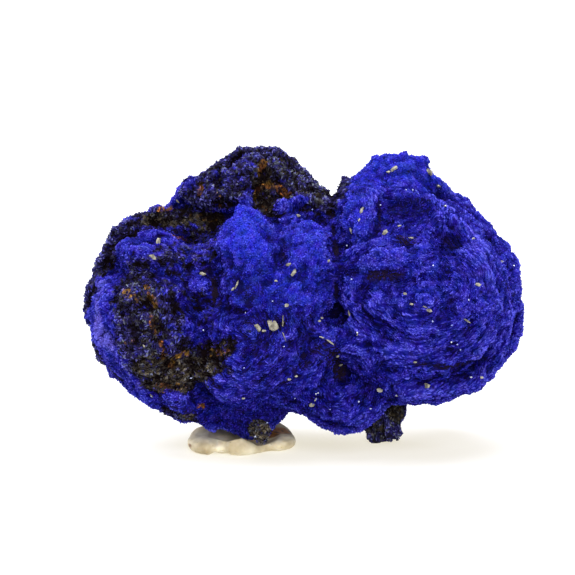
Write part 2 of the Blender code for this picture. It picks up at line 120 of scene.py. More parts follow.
# Where the crust is dark.
DARK_CRUST = front(
    (26, 1.0, 222, 168, 246, 156, 270, 158, 300, 172),
    (30, 1.0, 198, 180, 226, 158, 250, 149, 272, 147, 300, 160, 322, 190),
    (14, 0.9, 160, 204, 136, 216, 112, 236, 96, 262, 88, 290), (10, 1.0, 246, 172, 262, 186),
    (7, 1.0, 256, 196, 266, 210), (12, 1.1, 268, 184, 286, 194), (20, 0.95, 186, 190, 214, 196, 232, 186),
    (13, 1.0, 298, 190, 322, 196), (10, 0.85, 258, 206, 280, 210), (12, 1.1, 150, 216, 176, 218, 214, 222),
    (15, 1.0, 132, 222, 112, 246, 98, 270), (7, 0.9, 92, 286, 86, 304, 87, 326),
    (8, 1.3, 91, 334, 97, 352, 104, 368, 113, 382), (30, 1.0, 132, 284, 142, 312, 140, 342),
    (17, 0.75, 162, 290, 170, 316, 166, 344), (12, 0.6, 196, 238, 208, 252),
    (24, 1.0, 146, 368, 178, 372, 206, 366), (12, 0.7, 216, 350, 228, 346),
    (9, 0.9, 146, 384, 170, 391, 188, 388), (10, 0.9, 170, 413, 190, 417),
    (20, 0.62, 206, 240, 192, 258, 168, 262), (12, 0.42, 172, 282, 196, 296, 206, 320),
    (13, 0.45, 206, 352, 224, 368), (15, 0.8, 150, 338, 178, 346), (22, 1.1, 378, 420, 384, 440),
    (15, 1.2, 396, 414, 402, 420, 398, 430), (6, 1.0, 336, 184, 346, 180), (16, 1.2, 258, 431, 264, 436),
) + rear(
    (30, 1.0, 200, 185, 232, 172, 264, 165, 296, 185), (26, 0.9, 112, 240, 100, 280, 112, 340),
    (26, 0.55, 180, 250, 160, 300, 200, 340), (22, 1.1, 384, 424, 380, 440),
)
# Blue left standing in the dark crust.
BLUE_ISLANDS = front(
    (14, 1.1, 122, 262, 134, 244, 150, 234), (8, 1.2, 241, 204, 243, 216), (9, 0.8, 280, 206, 300, 202),
    (9, 0.9, 114, 352, 128, 378, 152, 398), (9, 0.9, 168, 398, 186, 398), (10, 0.9, 214, 386, 224, 380),
    (8, 0.6, 182, 180, 190, 184), (6, 0.8, 148, 206, 160, 204),
)
# Where the crust is craggy.
CRAGGY_CRUST = front(
    (26, 1.2, 222, 172, 246, 158, 272, 156, 300, 172, 318, 190), (16, 1.3, 180, 188, 206, 184, 222, 176),
    (24, 0.7, 306, 236, 306, 262, 312, 292), (26, 0.6, 240, 280, 286, 296, 310, 330),
    (22, 0.6, 148, 246, 186, 254, 220, 272), (14, 0.8, 92, 290, 100, 262, 116, 236, 140, 216),
    (34, 0.7, 130, 290, 140, 316, 136, 340), (26, 0.8, 130, 360, 166, 376, 206, 372),
    (20, 0.6, 180, 250, 206, 262, 200, 290), (24, 1.3, 352, 172, 376, 158, 406, 156, 426, 162),
    (22, 1.3, 342, 196, 346, 226, 360, 244), (18, 0.9, 440, 190, 470, 214, 494, 250),
) + rear(
    (40, 0.8, 222, 172, 246, 158, 272, 156, 300, 172), (50, 0.6, 110, 260, 120, 320, 150, 370),
)
# Small knobs that stand clear of the shade round them.
CLEAN_KNOBS = front(
    (14, 0.9, 258, 430, 264, 434), (18, 0.7, 378, 418, 384, 438), (12, 0.7, 396, 414, 400, 424),
)
# Where more painted shade is added to the hollows' share, mostly low on the stone.
ADDED_SHADE = front(
    (52, 0.16, 232, 300, 262, 330, 240, 366), (34, 0.26, 296, 380, 340, 400, 372, 392),
    (26, 0.12, 300, 262, 316, 300), (16, 0.25, 122, 262, 134, 244, 152, 236),
    (26, 0.10, 400, 380, 450, 376),
)
# Dark crust with blue specks in it.
BLUE_SPECKS = front(
    (36, 0.14, 128, 284, 140, 312, 140, 340), (20, 0.20, 206, 244, 190, 262, 176, 276),
    (22, 0.30, 218, 176, 238, 164, 262, 156), (12, 0.15, 104, 262, 116, 240, 136, 222),
    (12, 0.20, 236, 184, 248, 196),
)
# The paler violet band.
VIOLET_BAND = front(
    (7, 0.5, 199, 246, 204, 254), (7, 0.55, 148, 208, 162, 204), (9, 0.6, 181, 188, 186, 180, 196, 176),
    (5, 0.5, 122, 222, 140, 216), (5, 0.35, 360, 200, 366, 206), (9, 0.8, 101, 286, 96, 308),
    (9, 1.1, 96, 316, 99, 330, 109, 344), (6, 0.45, 114, 352, 124, 368, 142, 390),
)
# Where brown and olive earth fills the crust instead of slate.
EARTHY_CRUST = front(
    (20, 1.0, 150, 366, 178, 376, 208, 372), (9, 0.9, 146, 384, 170, 391, 188, 388),
    (10, 0.8, 216, 352, 226, 348), (17, 1.3, 258, 431, 264, 436), (12, 0.9, 260, 172, 262, 190, 264, 206),
    (12, 0.9, 150, 222, 190, 224, 216, 222), (16, 0.6, 280, 164, 300, 178, 318, 194),
    (8, 0.7, 150, 300, 158, 330), (26, 0.5, 132, 296, 148, 326), (8, 0.75, 372, 276, 398, 273),
    (7, 0.4, 446, 243, 453, 246), (5, 1.0, 398, 238, 414, 241),
    (5, 0.5, 333, 212, 335, 250, 337, 290, 337, 312), (12, 1.0, 328, 350, 338, 360, 336, 370),
    (6, 0.3, 342, 269, 353, 271), (3, 0.6, 380, 206, 380, 228),
    (40, 0.45, 230, 296, 262, 326, 300, 344, 262, 366), (22, 0.35, 180, 250, 206, 272, 200, 290),
    (5, 0.7, 214, 280, 216, 302), (5, 0.5, 283, 244, 284, 256), (5, 0.6, 416, 362, 444, 366, 464, 366),
    (6, 0.8, 505, 284, 513, 291), (12, 0.7, 170, 400, 186, 414), (18, 0.6, 374, 424, 382, 440),
    (12, 0.9, 396, 414, 402, 420),
)
# Iron stains.
RUST_STAINS = front(
    (4, 1.3, 264, 162, 259, 174), (3.5, 1.3, 254, 200, 257, 190, 263, 185),
    (5, 1.4, 268, 184, 278, 188, 288, 196), (3, 0.8, 262, 206, 266, 212), (3.5, 1.3, 202, 184, 200, 193),
    (3, 0.8, 219, 194, 220, 206), (4, 1.1, 160, 209, 171, 208), (5, 0.75, 192, 216, 214, 220),
    (3.5, 1.6, 169, 234, 184, 239), (3.5, 1.4, 147, 287, 150, 297, 156, 305), (5, 0.8, 126, 291, 138, 300),
    (4, 0.8, 152, 318, 154, 332), (3.5, 1.4, 161, 343, 163, 357), (3.5, 1.4, 171, 366, 177, 356, 187, 353),
    (5, 0.8, 212, 352, 228, 352), (2.5, 0.8, 126, 343, 135, 340), (7, 0.6, 160, 388, 182, 386),
    (3, 1.1, 198, 406, 204, 406), (5, 0.4, 378, 276, 398, 274), (3, 0.5, 398, 236, 412, 238),
) + rear(
    (6, 0.9, 190, 210, 214, 216), (6, 0.8, 150, 300, 156, 318), (6, 0.8, 250, 180, 262, 190),
)
# Where the crust is a fine, clear sugar of crystals.
SUGAR_KNOBS = front(
    (30, 1.0, 243, 212, 246, 232, 252, 240), (22, 0.55, 306, 228, 306, 256, 312, 292),
    (22, 0.7, 250, 282, 286, 292), (26, 0.75, 366, 172, 396, 162, 424, 172), (16, 0.5, 350, 200, 354, 224),
)
# Clefts and hollows in deep shade.
DEEP_SHADE = front(
    (3, 0.4, 218, 166, 222, 182, 221, 200), (3, 0.4, 272, 178, 292, 182), (15, 0.75, 398, 210, 422, 208),
    (11, 0.75, 447, 243, 455, 244), (26, 0.42, 205, 408, 240, 414, 272, 414),
    (12, 0.42, 340, 378, 366, 380), (2.5, 0.7, 130, 236, 144, 244, 152, 252),
    (2.5, 0.7, 136, 228, 152, 240, 162, 250), (2.5, 0.6, 122, 246, 134, 254, 142, 262),
    (7, 0.62, 372, 276, 398, 273), (6, 0.8, 342, 269, 353, 271), (5, 0.5, 352, 232, 374, 238),
    (3, 0.8, 379, 204, 380, 228), (4, 1.1, 333, 212, 335, 250, 337, 290, 337, 312),
    (6, 1.0, 330, 316, 340, 310), (8, 0.65, 330, 350, 338, 360, 336, 370),
    (3.5, 0.9, 416, 362, 444, 366, 464, 366), (4, 1.0, 470, 362, 484, 358), (3, 0.7, 366, 342, 383, 344),
    (6, 0.25, 150, 222, 190, 226, 216, 224), (3, 1.0, 214, 280, 216, 302),
    (3, 0.7, 182, 282, 204, 300, 232, 310), (4, 0.7, 283, 246, 284, 256), (7, 0.7, 220, 424, 250, 430),
    (4, 0.7, 160, 262, 190, 276), (2.5, 0.8, 160, 394, 164, 408, 176, 413), (2.5, 0.8, 189, 393, 195, 402),
)
# Forms pressed into the skin: here the second number is a height in mm.
FORMS = front(
    (4, -0.8, 333, 206, 335, 250, 337, 288, 338, 308), (6, -0.7, 330, 316, 338, 311),
    (8, -0.5, 330, 352, 338, 361, 336, 370), (14, -0.4, 396, 207, 418, 206), (10, -0.5, 447, 243, 453, 244),
    (12, 0.4, 388, 314, 416, 318), (6, 0.5, 376, 158, 377, 159), (7, 0.5, 387, 154, 389, 154),
    (7, 0.5, 402, 154, 407, 154), (4, -0.6, 369, 153, 371, 158), (6, -0.9, 428, 154, 427, 160),
    (5, -0.8, 432, 168, 433, 174), (6, 0.8, 443, 184, 447, 188), (5, -0.6, 312, 176, 316, 181),
    (5, -0.5, 296, 159, 300, 164), (5, 0.6, 184, 183, 189, 180), (6, -0.7, 400, 434, 402, 428),
    (7, 0.4, 424, 158, 425, 159), (7, 1.8, 336, 186, 344, 181), (7, -0.5, 312, 178, 320, 184),
    (11, 1.2, 98, 258, 104, 240, 114, 225), (11, 0.8, 86, 286, 85, 314), (9, 1.5, 389, 418, 391, 432),
    (7, 0.8, 394, 424, 393, 434), (7, 0.8, 398, 414, 400, 418), (7, 0.4, 376, 440, 380, 442),
    (8, 0.4, 420, 402, 476, 396), (8, 0.7, 436, 180, 450, 190), (7, -0.5, 460, 196, 476, 210),
    (4, -1.1, 381, 152, 381, 156), (5, -1.3, 396, 151, 397, 156), (4, -1.1, 414, 152, 415, 157),
    (4, -0.9, 432, 163, 430, 168), (4, -0.9, 366, 158, 369, 163), (4, -0.8, 354, 170, 358, 174),
    (11, 0.6, 512, 258, 518, 286), (5, -0.7, 218, 166, 222, 182, 221, 200),
    (6, -0.6, 264, 166, 259, 184, 256, 204), (5, -0.5, 272, 178, 292, 182), (5, -0.5, 232, 186, 248, 188),
    (5, -0.6, 196, 200, 214, 206, 236, 204), (10, 0.5, 236, 172, 250, 168), (8, 0.6, 206, 184, 212, 178),
    (8, 0.5, 234, 196, 242, 194), (8, 0.4, 300, 178, 314, 188), (8, -1.0, 364, 440, 368, 443),
    (7, -0.6, 394, 443, 399, 439), (8, 0.4, 480, 384, 490, 378), (6, -0.5, 412, 402, 434, 404),
    (6, -0.6, 290, 410, 306, 416), (8, -0.6, 352, 172, 366, 160), (9, -1.1, 304, 416, 332, 427, 354, 430),
    (11, -1.7, 520, 318, 514, 358), (10, -1.8, 228, 153, 246, 150), (11, -1.9, 89, 328, 96, 358),
    (6, 0.7, 270, 149, 274, 150), (8, 0.3, 240, 154, 241, 155), (10, 1.7, 177, 188, 184, 180, 192, 176),
    (9, 2.1, 150, 206, 165, 203), (6, -0.6, 128, 215, 139, 212), (7, 0.6, 111, 228, 120, 221),
    (7, -0.4, 372, 276, 398, 273), (4, -0.5, 379, 206, 380, 226), (4, -0.5, 416, 362, 444, 366, 464, 366),
    (5, -0.5, 470, 362, 484, 358), (6, 0.3, 416, 372, 448, 376, 484, 370),
    (6, 0.3, 352, 250, 372, 240, 396, 238, 424, 250), (6, 0.25, 350, 300, 372, 306, 400, 308),
    (7, 0.7, 280, 206, 300, 200, 316, 200), (10, 0.4, 222, 290, 238, 300), (9, 0.5, 202, 250, 203, 252),
    (9, 0.7, 168, 400, 170, 399), (8, 0.6, 182, 397, 184, 397), (3, -0.5, 176, 390, 176, 406),
    (3, -0.5, 158, 394, 164, 408), (4, -0.6, 192, 392, 196, 404), (15, 1.0, 259, 431, 264, 436),
    (10, 1.1, 203, 418, 208, 428), (10, 0.6, 138, 390, 150, 402), (4, -1.0, 199, 176, 202, 184),
    (6, 0.7, 205, 170, 212, 166), (4, -1.0, 168, 202, 173, 207), (4, -0.9, 144, 213, 149, 219),
    (4, -0.8, 216, 160, 218, 166), (3.5, -0.5, 214, 280, 216, 304), (3, -0.3, 182, 282, 204, 300, 232, 310),
)
# Where the crust is drawn out in even lines instead of lumps.
LINED_CRUST = front(
    (24, 1.0, 366, 316, 420, 326, 440, 350), (24, 0.9, 425, 190, 455, 220, 478, 262),
    (8, 0.7, 352, 250, 372, 242, 396, 244, 424, 256), (12, 0.5, 352, 184, 368, 200, 366, 222),
    (10, 0.5, 386, 174, 408, 172, 426, 184), (10, 0.5, 292, 262, 322, 262, 326, 296),
    (20, 1.0, 360, 352, 420, 356, 474, 334), (14, 1.0, 396, 392, 440, 386, 480, 370),
    (15, 0.8, 455, 215, 490, 262, 508, 320, 490, 370), (22, 0.6, 222, 372, 270, 376, 304, 366),
    (13, 0.7, 190, 312, 240, 322, 300, 330), (20, 0.4, 318, 398, 344, 412, 372, 400),
    (8, 0.8, 132, 232, 160, 240), (8, 0.9, 282, 206, 312, 204), (22, 1.0, 378, 420, 384, 440),
) + rear(
    (40, 0.8, 372, 332, 430, 350, 474, 330), (34, 0.7, 222, 372, 270, 376, 304, 366),
)
# Where the rows of crystals stand upright.
STANDING_FLOW = front(
    (24, 1.0, 378, 420, 384, 440),
) + rear(
    (22, 1.0, 384, 424, 380, 440),
)
# Where the putty is pressed down: here the second number is the share of the height lost.
PUTTY_PRESSES = front(
    (36, 0.46, 280, 432, 292, 434), (32, 0.36, 190, 436, 206, 432),
)
# Stains on the putty.
PUTTY_STAINS = front(
    (9, 1.0, 272, 434, 284, 432), (7, 0.5, 262, 444, 274, 440), (1.6, 1.0, 189, 445, 191, 446),
    (4, 0.3, 236, 449, 244, 448), (2.5, 0.4, 216, 436, 221, 444),
) + rear(
    (6, 0.5, 230, 440, 244, 444),
)
# Centres that the crystal flow circles round: x, y and how far each rules, in pixels.
FLOW_CENTRES = (
    (430, 296, 100), (387, 278, 50), (405, 205, 45), (262, 250, 60), (140, 318, 60), (232, 200, 50),
    (250, 330, 60), (345, 380, 45),
)
# Sand grains: x, y, length in mm, width as a share, turn in degrees.
SAND_GRAINS = (
    (158, 243, 1.2, 0.4, 80), (153, 257, 0.85, 0.5, -40), (202, 274, 1.0, 0.45, -12),
    (294, 272, 1.0, 0.4, 50), (289, 265, 0.6, 0.6, 20), (298, 216, 0.5, 0.7, 0), (272, 325, 1.5, 0.65, -50),
    (258, 328, 1.05, 0.6, -60), (264, 331, 0.5, 0.6, 10), (283, 320, 1.3, 0.13, 88),
    (284, 336, 1.1, 0.12, -70), (287, 305, 0.5, 0.7, 10), (394, 169, 0.85, 0.55, 35),
    (388, 172, 0.5, 0.5, 10), (429, 172, 0.85, 0.6, -40), (439, 186, 0.5, 0.6, 0),
    (385, 233, 0.75, 0.6, 60), (362, 211, 0.85, 0.4, 60), (359, 220, 0.4, 0.5, 70),
    (351, 231, 0.7, 0.35, -70), (400, 226, 0.5, 0.5, 10), (411, 238, 0.7, 0.3, -10),
    (328, 261, 0.4, 0.7, 0), (405, 294, 0.45, 0.6, 0), (412, 304, 0.4, 0.5, 0), (429, 310, 0.75, 0.5, -20),
    (425, 307, 0.5, 0.3, -20), (478, 285, 0.55, 0.9, 0), (466, 320, 1.0, 0.2, -35),
    (350, 314, 1.2, 0.14, -72), (358, 333, 0.5, 0.3, 80), (330, 341, 1.2, 0.15, -45),
    (322, 337, 0.6, 0.15, -20), (338, 356, 0.42, 0.8, 0), (341, 365, 0.5, 0.45, 20),
    (380, 390, 0.68, 0.8, 0), (427, 386, 0.78, 0.75, -20), (415, 362, 0.4, 0.5, 0), (289, 379, 0.4, 0.7, 0),
    (312, 404, 0.7, 0.7, 20), (316, 399, 0.45, 0.4, 60), (481, 378, 0.45, 0.6, 0), (473, 239, 0.36, 0.8, 0),
    (501, 262, 0.36, 0.8, 0), (236, 286, 1.2, 0.18, 68), (233, 289, 0.5, 0.5, 50),
    (178, 201, 0.7, 0.25, -40), (144, 346, 0.35, 0.6, -40), (151, 395, 0.5, 0.3, -50),
    (243, 398, 0.4, 0.5, 0), (397, 395, 0.4, 0.6, 0), (445, 206, 0.35, 0.7, 0), (321, 318, 0.4, 0.7, 0),
    (319, 321, 0.35, 0.7, 0), (276, 281, 0.35, 0.7, 0), (296, 376, 0.35, 0.6, 0),
)
# The rear has a few grains of its own.
REAR_SAND_GRAINS = (
    (420, 250, 0.8, 0.6, 20), (460, 300, 0.6, 0.7, -30), (380, 200, 0.7, 0.5, 60), (300, 330, 1.0, 0.4, 15),
    (240, 280, 0.6, 0.6, 0), (180, 330, 0.7, 0.5, -50), (350, 390, 0.6, 0.7, 30), (150, 270, 0.5, 0.6, 10),
    (260, 230, 0.6, 0.6, -20), (440, 370, 0.8, 0.3, 40), (210, 390, 0.6, 0.6, 70), (480, 240, 0.5, 0.7, 0),
)
# Small crystals, painted pale as glints, that also catch the light: places in the front view.
GLINTS = (
    (380, 205), (406, 191), (412, 191), (416, 192), (418, 195), (445, 206), (501, 262), (513, 266),
    (432, 321), (433, 266), (352, 279), (272, 301), (246, 313), (244, 368), (191, 377), (152, 395),
    (295, 397), (318, 392), (452, 325), (437, 330), (451, 341), (457, 344), (460, 349), (370, 409),
    (358, 402), (331, 409), (316, 393), (316, 398), (396, 394), (471, 378), (496, 372), (358, 332),
    (272, 428), (266, 424), (256, 436), (284, 346), (204, 330), (312, 210), (348, 246), (468, 300),
)


def colour_property(name, description, default):
    return FloatVectorProperty(name=name, description=description, default=default, subtype="COLOR")


class StoneSettings(bpy.types.PropertyGroup):
    """Sizes and colours of the crust."""

    grid: FloatProperty(
        name="Skin grid", description="Spacing of the points of the skin", default=0.235 * MM, unit="LENGTH"
    )
    # Bright, clear, middle and deep are one blue from painted light down to painted shade; slate is the
    # painted light on the dark crust's blade edges.
    bright: colour_property("Bright blue", "Faces that catch the light", (0.100, 0.100, 0.62))
    clear: colour_property("Clear blue", "The raised crust", (0.019, 0.018, 0.27))
    middle: colour_property("Blue", "Most of the crust", (0.0042, 0.0036, 0.110))
    deep: colour_property("Deep blue", "Between the crystals", (0.0018, 0.0010, 0.020))
    sugar: colour_property("Sugar blue", "The fine clear knobs", (0.013, 0.018, 0.32))
    violet: colour_property("Violet", "The paler band", (0.14, 0.13, 0.56))
    slate: colour_property("Slate", "Blade edges of the dark crust", (0.021, 0.017, 0.112))
    earth: colour_property("Earth", "Olive brown of the dirty crust", (0.060, 0.047, 0.030))
    rust: colour_property("Rust", "Iron stains", (0.092, 0.036, 0.010))


class StudioSettings(bpy.types.PropertyGroup):
    """Light and floor."""

    sky: FloatProperty(name="Sky", description="Strength of the even light", default=0.48)
    key: FloatProperty(name="Key light", description="Power from overhead", default=33.0, unit="POWER")
    fill: FloatProperty(name="Fill light", description="Power of the front light", default=17.0, unit="POWER")
    glow: FloatProperty(name="Floor glow", description="Light that the floor gives off", default=0.70)
    floor: colour_property("Floor", "Floor colour", (0.26, 0.28, 0.36))


# Places and strokes.


def metres(pixels):
    return pixels / PIXELS_PER_MM * MM


def view_ray(place, side):
    """Start and direction of the ray through a place of the front view, from the front or from the rear."""
    x, y = place
    target = AIM + (RIGHT * (x - FRAME_PIXELS / 2) + UP * (FRAME_PIXELS / 2 - y)) * (MM / PIXELS_PER_MM)
    along = (target - CAMERA).normalized()
    if side == FRONT_SIDE:
        return CAMERA, along
    return CAMERA + along * CAMERA_DISTANCE * 2, -along


def touch(tree, place, side=FRONT_SIDE):
    """Where the ray through a place meets the skin, or the nearest point if it misses, with the normal."""
    start, along = view_ray(place, side)
    point, normal, _, _ = tree.ray_cast(start, along)
    if point is None:
        point, normal, _, _ = tree.find_nearest(start + along * CAMERA_DISTANCE)
    return point, normal


def distance_to_path(points, path):
    """Distance from each point to a line through the points of path."""
    best = np.full(len(points), np.inf)
    for a, b in zip(path[:-1], path[1:]):
        a, b = np.array(a), np.array(b)
        along = b - a
        length = max(float(along @ along), TINY_AREA)
        t = np.clip((points - a) @ along / length, 0.0, 1.0)
        best = np.minimum(best, np.linalg.norm(points - a - t[:, None] * along, axis=1))
    return best


def soft_step(low, high, values):
    t = np.clip((values - low) / (high - low), 0.0, 1.0)
    return t * t * (3 - 2 * t)


def away_from_stroke(points, tree, side, places, reach):
    """Distance from each point to a stroke, as a share of the stroke's reach."""
    path = [touch(tree, place, side)[0] for place in places]
    return distance_to_path(points, path) / metres(reach)


def paint(points, tree, table):
    """The strongest stroke at each point, fading out past the stroke's reach."""
    weight = np.zeros(len(points))
    for side, places, reach, strength in table:
        near = 1.0 - soft_step(*STROKE_FADE, away_from_stroke(points, tree, side, places, reach))
        weight = np.maximum(weight, near * strength)
    return weight


# Meshes and objects.


def read_points(mesh):
    """The places and the normals of the corners, as two arrays."""
    count = len(mesh.vertices)
    points = np.empty(count * 3, np.float32)
    normals = np.empty(count * 3, np.float32)
    mesh.vertices.foreach_get("co", points)
    mesh.vertex_normals.foreach_get("vector", normals)
    return points.reshape(-1, 3).astype(float), normals.reshape(-1, 3).astype(float)


def write_points(mesh, points):
    mesh.vertices.foreach_set("co", points.astype(np.float32).ravel())
    mesh.update()


def tree_of(mesh):
    points, _ = read_points(mesh)
    return BVHTree.FromPolygons([tuple(p) for p in points], [tuple(f.vertices) for f in mesh.polygons])


def mesh_of(bm, name):
    mesh = bpy.data.meshes.new(name)
    bm.to_mesh(mesh)
    bm.free()
    return mesh


def add_object(name, data):
    """An object in the scene."""
    thing = bpy.data.objects.new(name, data)
    bpy.context.scene.collection.objects.link(thing)
    return thing


def apply_modifiers(thing):
    """Gives thing the mesh that its modifiers make."""
    graph = bpy.context.evaluated_depsgraph_get()
    made = bpy.data.meshes.new_from_object(thing.evaluated_get(graph))
    thing.modifiers.clear()
    old = thing.data
    thing.data = made
    bpy.data.meshes.remove(old)
    made.name = thing.name


def rebuild_skin(thing, grid, passes):
    """An even closed skin over thing, smoothed a number of times."""
    remesh = thing.modifiers.new("skin", "REMESH")
    remesh.mode = "VOXEL"
    remesh.voxel_size = grid
    if passes:
        soften = thing.modifiers.new("soften", "SMOOTH")
        soften.factor = 0.5
        soften.iterations = passes
    apply_modifiers(thing)


def copy_of_node(node, name):
    """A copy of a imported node's mesh with its loose corners merged."""
    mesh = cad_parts[node].data.copy()
    mesh.materials.clear()
    mesh.name = name
    bm = bmesh.new()
    bm.from_mesh(mesh)
    bmesh.ops.remove_doubles(bm, verts=bm.verts[:], dist=0.001 * MM)
    bm.to_mesh(mesh)
    bm.free()
    return add_object(name, mesh)


def put_attribute(mesh, name, values):
    """Numbers, directions or colours on the points of a mesh, by how many columns there are."""
    values = np.asarray(values, np.float32)
    columns = 1 if values.ndim == 1 else values.shape[1]
    kind, field = {1: ("FLOAT", "value"), 3: ("FLOAT_VECTOR", "vector"), 4: ("FLOAT_COLOR", "color")}[columns]
    mesh.attributes.new(name, kind, "POINT").data.foreach_set(field, values.ravel())


def colours(*channels):
    return np.stack([np.clip(c, 0.0, 1.0) for c in channels] + [np.ones(len(channels[0]))], 1)


def dress(piece, slot, *nodes):
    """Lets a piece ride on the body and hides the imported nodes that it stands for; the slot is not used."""
    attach(piece, "root")
    if nodes:
        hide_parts(*nodes)


# Relief of the crust.


def press_forms(thing, forms):
    """Raises or sinks the skin along each stroke."""
    points, normals = read_points(thing.data)
    tree = tree_of(thing.data)
    moved = points.copy()
    for side, places, reach, height in forms:
        t = np.clip(away_from_stroke(points, tree, side, places, reach), 0.0, 1.0)
        facing = np.array(BACK if side == FRONT_SIDE else -BACK)
        moved += ((1 - t * t) ** 2 * height * MM)[:, None] * (normals + facing) / 2
    write_points(thing.data, moved)


def ripple(points, size, seed):
    """Smooth noise from -1 to 1 with features of one size, in mm."""
    offset = Vector((seed * 13.7, seed * 7.1, seed * 3.3))
    scale = 1.0 / (size * MM)
    return np.array([noise.noise(Vector(p) * scale + offset) for p in points])


def billow(points, size, seed):
    """Rounded heads packed side by side, from 0 in the creases to 1 on the heads."""
    offset = Vector((seed * 5.3, seed * 11.9, seed * 2.7))
    scale = 1.0 / (size * MM)
    near = np.array([noise.voronoi(Vector(p) * scale + offset)[0][0] for p in points])
    return np.clip(1.0 - near * near, 0.0, 1.0)


def neighbour_pairs(mesh):
    """Every edge and every face diagonal, as two arrays of vertex numbers."""

    def field(items, name, count):
        values = np.empty(count, np.int32)
        items.foreach_get(name, values)
        return values

    edges = field(mesh.edges, "vertices", len(mesh.edges) * 2)
    sizes = field(mesh.polygons, "loop_total", len(mesh.polygons))
    starts = field(mesh.polygons, "loop_start", len(mesh.polygons))
    corners = field(mesh.loops, "vertex_index", len(mesh.loops))
    quads = starts[sizes == 4]
    diagonals = [np.stack((corners[quads + k], corners[quads + k + 2]), 1) for k in (0, 1)]
    pairs = np.concatenate((edges.reshape(-1, 2), *diagonals))
    return pairs[:, 0], pairs[:, 1]


def spread(values, pairs, weights, rounds):
    """Averages each value with its neighbours, round after round."""
    a, b = pairs
    count = len(values)
    total = 1.0 + np.bincount(a, weights, count) + np.bincount(b, weights, count)
    for _ in range(rounds):
        around = np.bincount(a, weights * values[b], count) + np.bincount(b, weights * values[a], count)
        values = (values + around) / total
    return values


def unit(vectors):
    return vectors / np.maximum(np.linalg.norm(vectors, axis=1), TINY_LENGTH)[:, None]


def lay_of(points, tree, lined):
    """A height in metres whose level lines are the rows of crystals, circling the flow centres."""
    total = np.zeros(len(points))
    weight = np.zeros(len(points))
    for x, y, reach in FLOW_CENTRES:
        away = np.linalg.norm(points - np.array(touch(tree, (x, y))[0]), axis=1)
        share = np.exp(-((away / metres(reach)) ** 2)) + TINY_SHARE
        total += share * away
        weight += share
    wander = 1.5 * ripple(points, 2.4, 41) + 0.7 * ripple(points, 1.0, 42) + 0.7 * billow(points, 1.3, 43)
    lay = total / weight + (1 - 0.8 * lined) * wander * MM
    upright = paint(points, tree, STANDING_FLOW)
    return lay * (1 - upright) + points @ np.array(RIGHT) * upright


def flow_along(points, normals, pairs, lay):
    """The direction of the rows at each point of the skin."""
    a, b = pairs
    step = points[b] - points[a]
    slope = ((lay[b] - lay[a]) / np.maximum((step ** 2).sum(1), TINY_AREA))[:, None] * step
    count = len(points)
    climb = [np.bincount(a, slope[:, k], count) + np.bincount(b, slope[:, k], count) for k in range(3)]
    return unit(np.cross(normals, np.stack(climb, 1)))


def flow_strokes(points, pairs, flow, seed, blur, rounds):
    """Random values, blurred evenly and then drawn out along the flow, with a mean of 0 and a spread of 1."""
    a, b = pairs
    along = unit(points[b] - points[a])
    lined = np.abs((along * (flow[a] + np.sign((flow[a] * flow[b]).sum(1))[:, None] * flow[b]) / 2).sum(1))
    values = np.random.default_rng(seed).normal(size=len(points))
    values = spread(values, pairs, np.ones(len(a)), blur)
    values = spread(values, pairs, lined ** 8, rounds)
    return (values - values.mean()) / values.std()


def crust_lumps(points, lined, craggy):
    """Height in mm of the heads, clumps and crags of the crust."""
    drift = np.stack([ripple(points, 1.3, seed) for seed in (51, 52, 53)], 1)
    bent = points + LUMP_DRIFT * MM * drift
    heads, clumps, crags = (billow(bent, size, seed) - BILLOW_MEAN for size, seed in LUMP_SIZES)
    pits = soft_step(0.3, 0.6, ripple(bent, 1.6, 55))
    lumps = HEAD_HEIGHT * heads + CLUMP_HEIGHT * clumps - PIT_DEPTH * pits
    return (1 - 0.6 * lined) * lumps + craggy * CRAG_HEIGHT * crags


def sunken(points, normals, pairs, rounds):
    """How far each point lies below its surroundings, in mm."""
    even = np.ones(len(pairs[0]))
    around = np.stack([spread(points[:, k], pairs, even, rounds) for k in range(3)], 1)
    return ((around - points) * normals).sum(1) / MM


# Nodes.


class Wire:
    """An output of a node, which sums are written with as with a number."""

    def __init__(self, socket):
        self.socket = socket
        self.tree = socket.id_data

    def __add__(self, other):
        return maths("ADD", self, other)

    def __sub__(self, other):
        return maths("SUBTRACT", self, other)

    def __rsub__(self, other):
        return maths("SUBTRACT", other, self)

    def __mul__(self, other):
        return maths("MULTIPLY", self, other)

    def __pow__(self, other):
        return maths("POWER", self, other)


def set_inputs(node, values):
    """Links inputs to wires and sockets, and gives the others their values."""
    for key, value in values.items():
        socket = key if isinstance(key, bpy.types.NodeSocket) else node.inputs[key]
        value = value.socket if isinstance(value, Wire) else value
        if isinstance(value, bpy.types.NodeSocket):
            node.id_data.links.new(value, socket)
        else:
            socket.default_value = value


def add_node(tree, kind, values=None, **settings):
    """A node with its properties set and its inputs linked or given values."""
    node = tree.nodes.new(kind)
    for key, value in settings.items():
        setattr(node, key, value)
    set_inputs(node, values or {})
    return node


def maths(operation, a, b=None):
    tree = (a if isinstance(a, Wire) else b).tree
    values = {0: a} if b is None else {0: a, 1: b}
    return Wire(add_node(tree, "ShaderNodeMath", values, operation=operation).outputs[0])


def clamped(wire):
    """The same sum, kept from 0 to 1."""
    wire.socket.node.use_clamp = True
    return wire


def mix_colour(factor, a, b):
    node = add_node(factor.tree, "ShaderNodeMix", data_type="RGBA")
    inputs = {socket.identifier: socket for socket in node.inputs}
    set_inputs(node, {inputs["Factor_Float"]: factor, inputs["A_Color"]: a, inputs["B_Color"]: b})
    return Wire(next(s for s in node.outputs if s.identifier == "Result_Color"))


def ramp(factor, *stops):
    node = add_node(factor.tree, "ShaderNodeValToRGB", {"Fac": factor})
    bar = node.color_ramp
    while len(bar.elements) < len(stops):
        bar.elements.new(1.0)
    for element, (position, colour) in zip(bar.elements, stops):
        element.position = position
        element.color = tuple(colour) + (1.0,)
    return Wire(node.outputs["Color"])


def object_place(tree):
    return Wire(tree.nodes.new("ShaderNodeTexCoord").outputs["Object"])


